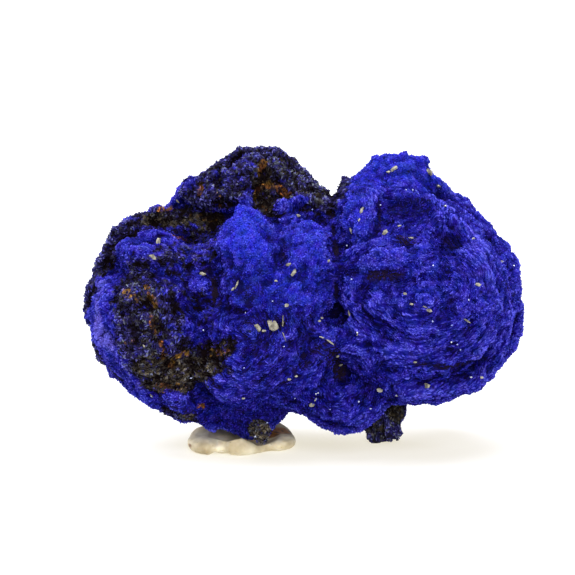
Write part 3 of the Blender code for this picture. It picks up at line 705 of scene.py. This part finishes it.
def painted(tree, name, output="Fac"):
    """A painted attribute of the mesh."""
    return Wire(add_node(tree, "ShaderNodeAttribute", attribute_name=name).outputs[output])


def painted_channels(tree, name):
    """The three values that a painted colour attribute holds."""
    parts = add_node(tree, "ShaderNodeSeparateColor", {"Color": painted(tree, name, "Color")})
    return (Wire(parts.outputs[k]) for k in ("Red", "Green", "Blue"))


def grain(where, size, detail=2.0, roughness=0.5):
    """Noise with features of one size, in mm."""
    values = {"Vector": where, "Scale": 1.0 / (size * MM), "Detail": detail, "Roughness": roughness}
    return Wire(add_node(where.tree, "ShaderNodeTexNoise", values).outputs["Fac"])


def crisp(value, low, high):
    """0 below low, 1 above high, and a soft step between."""
    values = {"Value": value, "From Min": low, "From Max": high}
    step = add_node(value.tree, "ShaderNodeMapRange", values, interpolation_type="SMOOTHSTEP")
    return Wire(step.outputs["Result"])


def row_noise(where, lay, length, width):
    """Noise of one length along the rows and one width across them, in mm."""
    tree = where.tree
    slide = add_node(tree, "ShaderNodeCombineXYZ", {"X": lay * (1.0 / width)})
    to_size = {0: where, "Scale": 1.0 / (length * MM)}
    place = add_node(tree, "ShaderNodeVectorMath", to_size, operation="SCALE")
    both = add_node(tree, "ShaderNodeVectorMath", {0: place.outputs[0], 1: slide.outputs[0]}, operation="ADD")
    values = {"Vector": both.outputs[0], "Scale": 1.0, "Detail": 1.0}
    return Wire(add_node(tree, "ShaderNodeTexNoise", values).outputs["Fac"])


def rows(where, lay, rowed):
    """Long rows of crystals where the crust is rowed and short clusters elsewhere."""
    long = row_noise(where, lay, ROW_LENGTH, ROW_WIDTH)
    short = row_noise(where, lay, CLUSTER_LENGTH, CLUSTER_WIDTH)
    return short + (long - short) * rowed


def blotch(zone, cloud, dice, edge, steepness):
    """A painted zone broken into ragged blotches, with stray crystals: dice is the tone times any number."""
    ragged = (cloud - 0.5) * 2.0
    stray = (maths("FRACT", dice) - 0.5) * STRAY_SHARE
    return clamped((zone + (ragged + stray) - edge) * steepness)


def new_material(name):
    """A material with its tree and its shader."""
    material = bpy.data.materials.new(name)
    material.use_nodes = True
    tree = material.node_tree
    return material, tree, tree.nodes["Principled BSDF"]


def crust_colour_group(settings):
    """Node group that turns the painted zones and the relief into colour, roughness and height."""
    tree = bpy.data.node_groups.new("azurite_crust_colour", "ShaderNodeTree")
    for name, way, kind in (
        ("Tone", "INPUT", "Float"), ("Lift", "INPUT", "Float"), ("Color", "OUTPUT", "Color"),
        ("Roughness", "OUTPUT", "Float"), ("Height", "OUTPUT", "Float"),
    ):
        tree.interface.new_socket(name, in_out=way, socket_type="NodeSocket" + kind)
    given = tree.nodes.new("NodeGroupInput")
    where = object_place(tree)
    tone, lift = Wire(given.outputs["Tone"]), Wire(given.outputs["Lift"])
    dark, violet, rust = painted_channels(tree, "zones")
    hollow_shade, stroke, sugar = painted_channels(tree, "relief")
    earthy = painted(tree, "earth")
    fine = grain(where, 0.2, 3.0, 0.6)

    # How light each spot is: every part adds its share, and the hollows' share is painted shade.
    row = crisp(rows(where, painted(tree, "lay"), painted(tree, "rowed")), ROW_GAP - 0.09, ROW_GAP + 0.06)
    dots = crisp(fine, 0.37, 0.47)
    crumbs = crisp(grain(where, 0.15, 1.0), 0.36, 0.56) * sugar
    plain = 1.0 - sugar * 0.8
    row, stroke = row * plain, stroke * plain
    full = 1.0 - (1.0 - tone) ** 2.0
    light = lift + sugar * 0.01
    # Rows and dots are darker where the bump sinks and strokes lighter where the skin rises: a painted shade
    # and light at a fine scale.
    for part, share in (
        (full, 0.30), (row, 0.20), (stroke, 0.12), (dots, 0.145), (crumbs, 0.24),
        (grain(where, 0.9, 3.0), 0.12), (hollow_shade, -0.55),
    ):
        light = light + part * share

    # The blue crust, its clear sugar, the violet band and the dirt low in it.
    # Each ramp runs from its colour in painted shade at the dark end to its colour in painted light at the
    # bright end.
    blue = ramp(
        light, (0.12, settings.deep), (0.38, settings.middle), (0.62, settings.clear), (0.92, settings.bright)
    )
    clear = ramp(light, (0.22, (0.003, 0.004, 0.08)), (0.55, settings.sugar), (0.90, (0.046, 0.058, 0.60)))
    blue = mix_colour(sugar * 0.8, blue, clear)
    pale = ramp(light, (0.28, (0.008, 0.006, 0.06)), (0.54, (0.066, 0.058, 0.34)), (0.88, settings.violet))
    blue = mix_colour(blotch(violet, grain(where, 0.5), tone * 5.1, 0.35, 1.5), blue, pale)
    blue = mix_colour(clamped((0.48 - light) * 5.0) * (earthy * 0.7), blue, (0.011, 0.006, 0.007, 1.0))

    # The dark crust: inky, dull or soiled.
    black, night = (0.0028, 0.0012, 0.0016), (0.008, 0.0065, 0.024)
    ash, pewter, umber = (0.010, 0.009, 0.011), (0.037, 0.039, 0.054), (0.018, 0.014, 0.010)
    inky = ramp(light, (0.27, black), (0.46, night), (0.66, settings.slate), (0.87, (0.115, 0.115, 0.38)))
    dull = ramp(light, (0.27, black), (0.46, ash), (0.66, pewter), (0.87, (0.135, 0.150, 0.175)))
    soil = ramp(light, (0.24, black), (0.43, umber), (0.70, settings.earth), (0.92, (0.17, 0.14, 0.095)))
    murk = mix_colour(blotch(earthy * 0.35, grain(where, 0.4), tone * 17.9, 0.04, 4.0), inky, dull)
    murk = mix_colour(blotch(earthy, grain(where, 0.45), tone * 7.3, 0.74, 2.6), murk, soil)
    colour = mix_colour(blotch(dark, grain(where, 0.55), tone * 13.7, 0.35, 3.0), blue, murk)

    # Rust, red in some places and ochre in others.
    tan, buff = (0.100, 0.050, 0.009), (0.42, 0.22, 0.05)
    red = ramp(light, (0.22, (0.012, 0.004, 0.002)), (0.50, settings.rust), (0.84, (0.44, 0.14, 0.025)))
    ochre = ramp(light, (0.22, (0.010, 0.006, 0.001)), (0.50, tan), (0.84, buff))
    stain = mix_colour(crisp(grain(where, 1.8, 1.0), 0.42, 0.58), red, ochre)
    rust = blotch(rust, grain(where, 0.35), tone * 29.3, 0.62, 2.4)
    varied = add_node(tree, "ShaderNodeHueSaturation", {
        "Color": mix_colour(rust, colour, stain),
        "Hue": (grain(where, 0.9) - 0.5) * 0.025 + 0.5,
        "Saturation": (grain(where, 0.5, 3.0) - 0.5) * 0.16 + 1.0,
    })
    set_inputs(tree.nodes.new("NodeGroupOutput"), {
        "Color": varied.outputs["Color"],
        "Roughness": clamped((0.78 - tone ** 6.0 * 0.5) + rust * 0.3),
        "Height": fine + row * 0.6,
    })
    return tree


def crust_material(name, group, lift, shine, bump):
    """Azurite: the shared colour group with its own lift, and a bump in mm."""
    material, tree, shader = new_material(name)
    crust = add_node(tree, "ShaderNodeGroup", node_tree=group)
    set_inputs(crust, {"Tone": painted(tree, "tone"), "Lift": lift})
    set_inputs(shader, {
        "IOR": 1.5, "Specular IOR Level": shine,
        "Base Color": crust.outputs["Color"], "Roughness": crust.outputs["Roughness"],
    })
    if bump:
        values = {"Height": crust.outputs["Height"], "Distance": bump * MM, "Strength": 1.0}
        set_inputs(shader, {"Normal": add_node(tree, "ShaderNodeBump", values).outputs["Normal"]})
    return material


def scatter_group():
    """Geometry nodes: crystals on the source where its cover says, laid along its flow."""
    tree = bpy.data.node_groups.new("crystal_scatter", "GeometryNodeTree")
    face = tree.interface
    face.new_socket("Geometry", in_out="INPUT", socket_type="NodeSocketGeometry")
    for name, kind in (
        ("Source", "Object"), ("Crystal", "Object"), ("Cover", "String"), ("Spacing", "Float"),
        ("Density", "Float"), ("Smallest", "Vector"), ("Largest", "Vector"), ("Tilt", "Vector"),
        ("Seed", "Int"), ("Gap", "Float"), ("Material", "Material"),
    ):
        face.new_socket(name, in_out="INPUT", socket_type="NodeSocket" + kind)
    face.new_socket("Geometry", in_out="OUTPUT", socket_type="NodeSocketGeometry")
    given = tree.nodes.new("NodeGroupInput").outputs

    def read(name, kind="FLOAT"):
        node = add_node(tree, "GeometryNodeInputNamedAttribute", {"Name": name}, data_type=kind)
        return Wire(node.outputs["Attribute"])

    def draw(seed, low, high):
        values = {"Min": low, "Max": high, "Seed": seed}
        return add_node(tree, "FunctionNodeRandomValue", values, data_type="FLOAT_VECTOR").outputs["Value"]

    source = add_node(tree, "GeometryNodeObjectInfo", {"Object": given["Source"]})
    crystal = add_node(tree, "GeometryNodeObjectInfo", {"Object": given["Crystal"], "As Instance": True})
    points = add_node(tree, "GeometryNodeDistributePointsOnFaces", {
        "Mesh": source.outputs["Geometry"], "Distance Min": given["Spacing"], "Density Max": given["Density"],
        "Density Factor": read(given["Cover"]), "Seed": given["Seed"],
    }, distribute_method="POISSON")
    place = Wire(tree.nodes.new("GeometryNodeInputPosition").outputs[0])
    thinned = add_node(tree, "GeometryNodeDeleteGeometry", {
        "Geometry": points.outputs["Points"],
        "Selection": maths("LESS_THAN", rows(place, read("lay"), read("rowed")), given["Gap"]),
    }, domain="POINT")
    stand = add_node(tree, "FunctionNodeAxesToRotation", {
        "Primary Axis": points.outputs["Normal"], "Secondary Axis": read("flow", "FLOAT_VECTOR"),
    }, primary_axis="Z", secondary_axis="X")
    other_way = {0: given["Tilt"], 1: (-1.0, -1.0, -1.0)}
    lean_back = add_node(tree, "ShaderNodeVectorMath", other_way, operation="MULTIPLY")
    turn = add_node(tree, "FunctionNodeRotateRotation", {
        "Rotation": stand.outputs[0], "Rotate By": draw(LEAN_SEED, lean_back.outputs[0], given["Tilt"]),
    }, rotation_space="LOCAL")
    placed = add_node(tree, "GeometryNodeInstanceOnPoints", {
        "Points": thinned.outputs["Geometry"], "Instance": crystal.outputs["Geometry"],
        "Rotation": turn.outputs[0], "Scale": draw(SIZE_SEED, given["Smallest"], given["Largest"]),
    })
    tone = add_node(tree, "FunctionNodeRandomValue", {"Seed": TONE_SEED}, data_type="FLOAT")
    toned = add_node(tree, "GeometryNodeStoreNamedAttribute", {
        "Geometry": placed.outputs["Instances"], "Name": "tone",
        "Value": next(s for s in tone.outputs if s.enabled),
    }, data_type="FLOAT", domain="INSTANCE")
    real = add_node(tree, "GeometryNodeRealizeInstances", {"Geometry": toned.outputs["Geometry"]})
    dressed = {"Geometry": real.outputs["Geometry"], "Material": given["Material"]}
    finished = add_node(tree, "GeometryNodeSetMaterial", dressed)
    set_inputs(tree.nodes.new("NodeGroupOutput"), {"Geometry": finished.outputs["Geometry"]})
    return tree


def facet_crystal():
    """A closed, uneven, eight-sided crystal of unit size."""
    bm = bmesh.new()
    bmesh.ops.create_uvsphere(bm, u_segments=4, v_segments=2, radius=0.5)
    bmesh.ops.transform(bm, matrix=Matrix.Shear("XY", 4, (0.18, -0.12)), verts=bm.verts[:])
    return bpy.data.objects.new("facet", mesh_of(bm, "facet"))


# The pieces and the steps that make them.


def shape_stone(settings):
    """The stone's piece with its forms and lumps, on an even grid."""
    stone = copy_of_node("azurite", "azurite_crust")
    rebuild_skin(stone, FORM_GRID * MM, FORM_PASSES)
    press_forms(stone, FORMS)
    rebuild_skin(stone, LUMP_GRID * MM, LUMP_PASSES)
    points, normals = read_points(stone.data)
    tree = tree_of(stone.data)
    lined, craggy = paint(points, tree, LINED_CRUST), paint(points, tree, CRAGGY_CRUST)
    raised = crust_lumps(points, lined, craggy) - LUMP_SINK
    write_points(stone.data, points + normals * (raised * MM)[:, None])
    rebuild_skin(stone, settings.grid, 0)
    return stone


def finish_stone(mesh):
    """Fine relief on the skin, and the painted zones that colour it and grow its crystals."""
    points, normals = read_points(mesh)
    tree = tree_of(mesh)
    pairs = neighbour_pairs(mesh)
    lined, sugar = paint(points, tree, LINED_CRUST), paint(points, tree, SUGAR_KNOBS)
    lay = lay_of(points, tree, lined)
    flow = flow_along(points, normals, pairs, lay)
    # Fine relief: short strokes and long ridges along the flow, crumbs and pits.
    stroke = flow_strokes(points, pairs, flow, 11, 0, 14)
    ridges = flow_strokes(points, pairs, flow, 12, 3, 60)
    crumbs = 0.4 * ripple(points, 0.5, 21) + 1.5 * (billow(points, 0.62, 22) - BILLOW_MEAN)
    pits = soft_step(0.12, 0.42, ripple(points, 0.42, 23)) * (1 - 0.5 * sugar)
    height = (0.04 + 0.05 * lined) * stroke + (0.05 + 0.10 * lined) * ridges
    height += 0.15 * (1 - 0.6 * lined) * crumbs - 0.10 * pits
    points = points + normals * (height * MM)[:, None]
    points[:, 2] = np.maximum(points[:, 2], FLOOR_GAP * MM)
    write_points(mesh, points)
    near, wide = sunken(points, normals, pairs, 8), sunken(points, normals, pairs, 60)
    sunk = 1.6 * near + 0.22 * wide

    def zone_of(table):
        return paint(points, tree, table)

    # The zones' edges are ragged by a mottle, and hollows get painted shade.
    mottle = 0.5 * ripple(points, 1.7, 31) + 0.45 * ripple(points, 0.6, 32)
    band = zone_of(VIOLET_BAND)
    zone = zone_of(DARK_CRUST) * (1 - 0.8 * band)
    zone = zone * (1 - soft_step(0.3, 0.9, zone_of(BLUE_ISLANDS) + mottle * 0.4))
    zone = zone * (1 - zone_of(BLUE_SPECKS))
    dark = soft_step(0.30, 0.70, zone + mottle * 0.4)
    violet = soft_step(0.35, 0.85, band + mottle * 0.5) * 0.9
    rust = zone_of(RUST_STAINS) * (1 + 0.4 * ripple(points, 0.32, 33))
    # Painted shade: more where the skin is sunken, in pits and dark zones, along the shade strokes and where
    # shade is added, less on the clean knobs.
    hollow_shade = np.clip(0.20 + sunk + 0.12 * pits + 0.12 * dark + zone_of(ADDED_SHADE), 0.0, 1.0)
    hollow_shade = np.maximum(hollow_shade, zone_of(DEEP_SHADE) * (0.85 + 0.3 * mottle)) * (1 - zone_of(CLEAN_KNOBS))
    above = points[:, 2] > ROOT_HEIGHT * MM
    bare = above * (1 - 0.6 * soft_step(0.5, 0.95, hollow_shade)) * (1 - dark)
    rooted = above * (1 - 0.3 * soft_step(0.45, 0.9, hollow_shade))
    right = points[:, 0] > touch(tree, NECK)[0].x
    # The relief attribute holds the hollows' painted shade, the strokes of the relief and the sugar.
    for name, values in (
        ("zones", colours(zone, violet, rust)),
        ("relief", colours(hollow_shade, 0.5 + 0.16 * stroke + 0.10 * ridges, sugar)),
        ("earth", soft_step(0.3, 0.8, zone_of(EARTHY_CRUST) + mottle * 0.4)),
        ("tone", np.full(len(points), SKIN_TONE)),
        ("flow", flow),
        ("lay", lay / MM),
        ("rowed", np.clip(0.35 + 0.8 * lined - 0.5 * sugar, 0.0, 1.0)),
        ("cover_left", bare * ~right),
        ("cover_right", bare * right),
        ("cover_lines", bare * (0.12 + 0.88 * lined) * (1 - 0.8 * sugar)),
        ("cover_dark", rooted * soft_step(0.2, 0.6, dark) * (1 - 0.6 * rust)),
    ):
        put_attribute(mesh, name, values)


class AZURITE_OT_stone(bpy.types.Operator):
    """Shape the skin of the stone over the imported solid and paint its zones"""

    bl_idname = "azurite.stone"
    bl_label = "Shape the stone"

    def execute(self, context):
        settings = context.scene.azurite_stone
        stone = shape_stone(settings)
        finish_stone(stone.data)
        stone.data.shade_smooth()
        group = crust_colour_group(settings)
        # The skin's lift is below the blades', a painted shade between the crystals.
        material = crust_material("azurite crust", group, lift=-0.035, shine=0.02, bump=0.07)
        stone.data.materials.append(material)
        dress(stone, "azurite", "azurite")
        return {"FINISHED"}


class AZURITE_OT_crystals(bpy.types.Operator):
    """Grow blades, sugary grains and dark blades over the skin"""

    bl_idname = "azurite.crystals"
    bl_label = "Grow the crystals"

    def execute(self, context):
        scatter = scatter_group()
        group = bpy.data.node_groups["azurite_crust_colour"]
        shiny = crust_material("azurite blades", group, lift=0.075, shine=0.03, bump=0.0)
        crystal = facet_crystal()
        for name, cover, seed, gap, spacing, low, high, tilt in CRYSTALS:
            piece = add_object(name, bpy.data.meshes.new(name))
            grow = piece.modifiers.new("scatter", "NODES")
            grow.node_group = scatter
            values = {
                "Source": bpy.data.objects["azurite_crust"], "Crystal": crystal, "Cover": cover,
                "Spacing": spacing * MM, "Density": DENSEST, "Tilt": list(tilt), "Seed": seed, "Gap": gap,
                "Smallest": [v * MM for v in low], "Largest": [v * MM for v in high], "Material": shiny,
            }
            for item in scatter.interface.items_tree:
                if item.in_out == "INPUT" and item.name in values:
                    grow[item.identifier] = values[item.name]
            apply_modifiers(piece)
            if not len(piece.data.polygons):
                raise RuntimeError(f"no crystals grew on {name}")
            piece.data.shade_flat()
            dress(piece, "azurite")
        return {"FINISHED"}


def sand_material():
    """Sandstone, speckled from brown to cream."""
    material, nodes, shader = new_material("sandstone")
    speck = grain(object_place(nodes), 0.35, 4.0)
    brown, cream = (0.085, 0.076, 0.055), (0.30, 0.28, 0.215)
    tint = ramp(speck, (0.38, brown), (0.5, (0.185, 0.170, 0.125)), (0.66, cream))
    set_inputs(shader, {"Base Color": tint, "Roughness": speck * 0.4 + 0.45})
    return material


class AZURITE_OT_sand(bpy.types.Operator):
    """Set sand grains into the crust"""

    bl_idname = "azurite.sand"
    bl_label = "Set the sand grains"

    def execute(self, context):
        tree = tree_of(bpy.data.objects["azurite_crust"].data)
        chips = np.random.default_rng(SAND_SEED)
        bm = bmesh.new()
        for side, grains in ((FRONT_SIDE, SAND_GRAINS), (REAR_SIDE, REAR_SAND_GRAINS)):
            out = BACK if side == FRONT_SIDE else -BACK
            for x, y, length, share, degrees in grains:
                point, normal = touch(tree, (x, y), side)
                across = RIGHT * math.cos(math.radians(degrees)) + UP * math.sin(math.radians(degrees))
                up = (normal + out).normalized()
                across = (across - up * across.dot(up)).normalized()
                turn = Matrix((across, up.cross(across), up)).transposed().to_4x4()
                made = bmesh.ops.create_icosphere(bm, subdivisions=1, radius=0.5 * MM)
                for vertex, knock in zip(made["verts"], chips.uniform(*SAND_CHIPPING, len(made["verts"]))):
                    vertex.co *= knock
                shape = Matrix.Diagonal((length, length * share, min(length / 2, SAND_THICKEST), 1.0))
                place = Matrix.Translation(point + up * SAND_STAND * MM) @ turn @ shape
                bmesh.ops.transform(bm, matrix=place, verts=made["verts"])
        sand = add_object("sand_grains", mesh_of(bm, "sand_grains"))
        sand.data.materials.append(sand_material())
        dress(sand, "azurite")
        return {"FINISHED"}


def glint_material():
    """Pale crystal colour, clouded from blue to milky: a painted glint."""
    material, nodes, shader = new_material("clear crystal")
    cloud = grain(object_place(nodes), 0.6)
    tint = ramp(cloud, (0.38, (0.12, 0.15, 0.50)), (0.5, (0.34, 0.38, 0.64)), (0.66, (0.66, 0.68, 0.72)))
    set_inputs(shader, {"Base Color": tint, "Roughness": cloud * 0.4})
    return material


class AZURITE_OT_glints(bpy.types.Operator):
    """Set small crystals, painted pale as glints"""

    bl_idname = "azurite.glints"
    bl_label = "Set the glints"

    def execute(self, context):
        tree = tree_of(bpy.data.objects["azurite_crust"].data)
        turns = np.random.default_rng(GLINT_SEED)
        bm = bmesh.new()
        for side in (FRONT_SIDE, REAR_SIDE):
            for place in GLINTS:
                point, normal = touch(tree, place, side)
                made = bmesh.ops.create_uvsphere(bm, u_segments=4, v_segments=2, radius=0.5 * MM)
                width, length = turns.uniform(*GLINT_WIDTHS), turns.uniform(*GLINT_LENGTHS)
                shape = Matrix.Diagonal((width, width, length, 1.0))
                turn = Euler(turns.uniform(0.0, math.pi, 3)).to_matrix().to_4x4()
                where = Matrix.Translation(point + normal * GLINT_STAND * MM)
                bmesh.ops.transform(bm, matrix=where @ turn @ shape, verts=made["verts"])
        glints = add_object("glints", mesh_of(bm, "glints"))
        glints.data.materials.append(glint_material())
        dress(glints, "azurite")
        return {"FINISHED"}


def putty_material():
    """Off-white putty that light goes into, with dust in it and brown stains on it."""
    material, nodes, shader = new_material("putty")
    where = object_place(nodes)
    cloud = grain(where, 2.0, 3.0)
    tint = ramp(cloud, (0.3, (0.33, 0.26, 0.15)), (0.5, (0.55, 0.475, 0.315)), (0.7, (0.76, 0.70, 0.54)))
    dust = maths("GREATER_THAN", grain(where, 0.3), 0.70)
    tint = mix_colour(dust * 0.5, tint, (0.12, 0.08, 0.04, 1.0))
    brown = ramp(grain(where, 0.5, 3.0), (0.35, (0.04, 0.02, 0.008)), (0.6, (0.28, 0.12, 0.03)))
    set_inputs(shader, {
        "Base Color": mix_colour(painted(nodes, "stain"), tint, brown), "Roughness": cloud * 0.3 + 0.35,
        "Subsurface Weight": 0.4, "Subsurface Radius": (0.001, 0.0008, 0.0005), "Subsurface Scale": 1.0,
    })
    return material


class AZURITE_OT_putty(bpy.types.Operator):
    """Knead the pinch of mounting putty"""

    bl_idname = "azurite.putty"
    bl_label = "Knead the putty"

    def execute(self, context):
        putty = copy_of_node("putty", "mounting_putty")
        rebuild_skin(putty, PUTTY_GRID * MM, PUTTY_PASSES)
        points, normals = read_points(putty.data)
        points[:, 2] *= 1 - paint(points, tree_of(putty.data), PUTTY_PRESSES)
        wave = 0.07 * ripple(points, 1.4, 61) + 0.03 * ripple(points, 0.5, 62)
        points = points + normals * (wave * MM)[:, None]
        points[:, 2] = np.maximum(points[:, 2], 0.0)
        write_points(putty.data, points)
        smudge = paint(points, tree_of(putty.data), PUTTY_STAINS) + 0.25 * ripple(points, 0.7, 63)
        put_attribute(putty.data, "stain", soft_step(0.25, 0.9, smudge))
        putty.data.shade_smooth()
        putty.data.materials.append(putty_material())
        dress(putty, "putty", "putty")
        return {"FINISHED"}


def floor_material(settings):
    """A pale floor that gives off a little light."""
    material, _, shader = new_material("floor")
    set_inputs(shader, {
        "Base Color": tuple(settings.floor) + (1.0,), "Roughness": 0.7,
        "Emission Color": (1.0, 0.935, 0.73, 1.0), "Emission Strength": settings.glow,
    })
    return material


def hang_lights(scene, settings):
    """An even sky and three square lamps turned to the stone."""
    world = bpy.data.worlds.new("studio")
    world.use_nodes = True
    sky = world.node_tree.nodes["Background"]
    set_inputs(sky, {"Color": (1.0, 1.0, 1.0, 1.0), "Strength": settings.sky})
    scene.world = world
    for name, place, size, power in (
        ("key", (-0.18, 0.16, 1.10), 1.2, settings.key),
        ("fill", (0.30, -1.00, 0.60), 0.9, settings.fill),
        ("side", (-0.75, 0.40, 0.42), 0.8, settings.fill / 2),
    ):
        light = bpy.data.lights.new(name, "AREA")
        light.size = size
        light.energy = power
        lamp = add_object(name, light)
        lamp.location = AIM + Vector(place)
        lamp.rotation_euler = (-Vector(place)).to_track_quat("-Z", "Y").to_euler()


def set_camera(scene):
    """The camera of the front view, whose frame is FRAME_PIXELS wide at the stone."""
    camera = bpy.data.cameras.new("camera")
    camera.sensor_width = SENSOR
    camera.lens = SENSOR * CAMERA_DISTANCE / metres(FRAME_PIXELS)
    camera.clip_start = 0.01
    eye = add_object("camera", camera)
    eye.location = CAMERA
    eye.rotation_euler = (-BACK).to_track_quat("-Z", "Y").to_euler()
    scene.camera = eye
    scene.view_settings.view_transform = "Standard"


class AZURITE_OT_studio(bpy.types.Operator):
    """Lay the floor, hang the lights and set the camera"""

    bl_idname = "azurite.studio"
    bl_label = "Set the studio"

    def execute(self, context):
        settings = context.scene.azurite_studio
        bm = bmesh.new()
        bmesh.ops.create_circle(bm, cap_ends=True, segments=96, radius=FLOOR_RADIUS)
        floor = add_object("floor", mesh_of(bm, "floor"))
        floor.data.materials.append(floor_material(settings))
        hang_lights(context.scene, settings)
        set_camera(context.scene)
        return {"FINISHED"}


class AZURITE_PT_panel(bpy.types.Panel):
    """Lists the sizes, the colours and the steps"""

    bl_idname = "AZURITE_PT_panel"
    bl_label = "Azurite specimen"
    bl_space_type = "VIEW_3D"
    bl_region_type = "UI"
    bl_category = "Azurite"

    def draw(self, context):
        for group in (context.scene.azurite_stone, context.scene.azurite_studio):
            box = self.layout.box()
            for name in group.__annotations__:
                box.prop(group, name)
        for operator in OPERATORS:
            self.layout.operator(operator.bl_idname)


OPERATORS = (
    AZURITE_OT_stone,
    AZURITE_OT_crystals,
    AZURITE_OT_sand,
    AZURITE_OT_glints,
    AZURITE_OT_putty,
    AZURITE_OT_studio,
)
CLASSES = (StoneSettings, StudioSettings) + OPERATORS + (AZURITE_PT_panel,)


def register():
    for item in CLASSES:
        bpy.utils.register_class(item)
    bpy.types.Scene.azurite_stone = PointerProperty(type=StoneSettings)
    bpy.types.Scene.azurite_studio = PointerProperty(type=StudioSettings)


def unregister():
    del bpy.types.Scene.azurite_studio
    del bpy.types.Scene.azurite_stone
    for item in reversed(CLASSES):
        bpy.utils.unregister_class(item)


def main():
    register()
    bpy.ops.azurite.stone()
    bpy.ops.azurite.crystals()
    bpy.ops.azurite.sand()
    bpy.ops.azurite.glints()
    bpy.ops.azurite.putty()
    bpy.ops.azurite.studio()


if __name__ == "__main__":
    main()
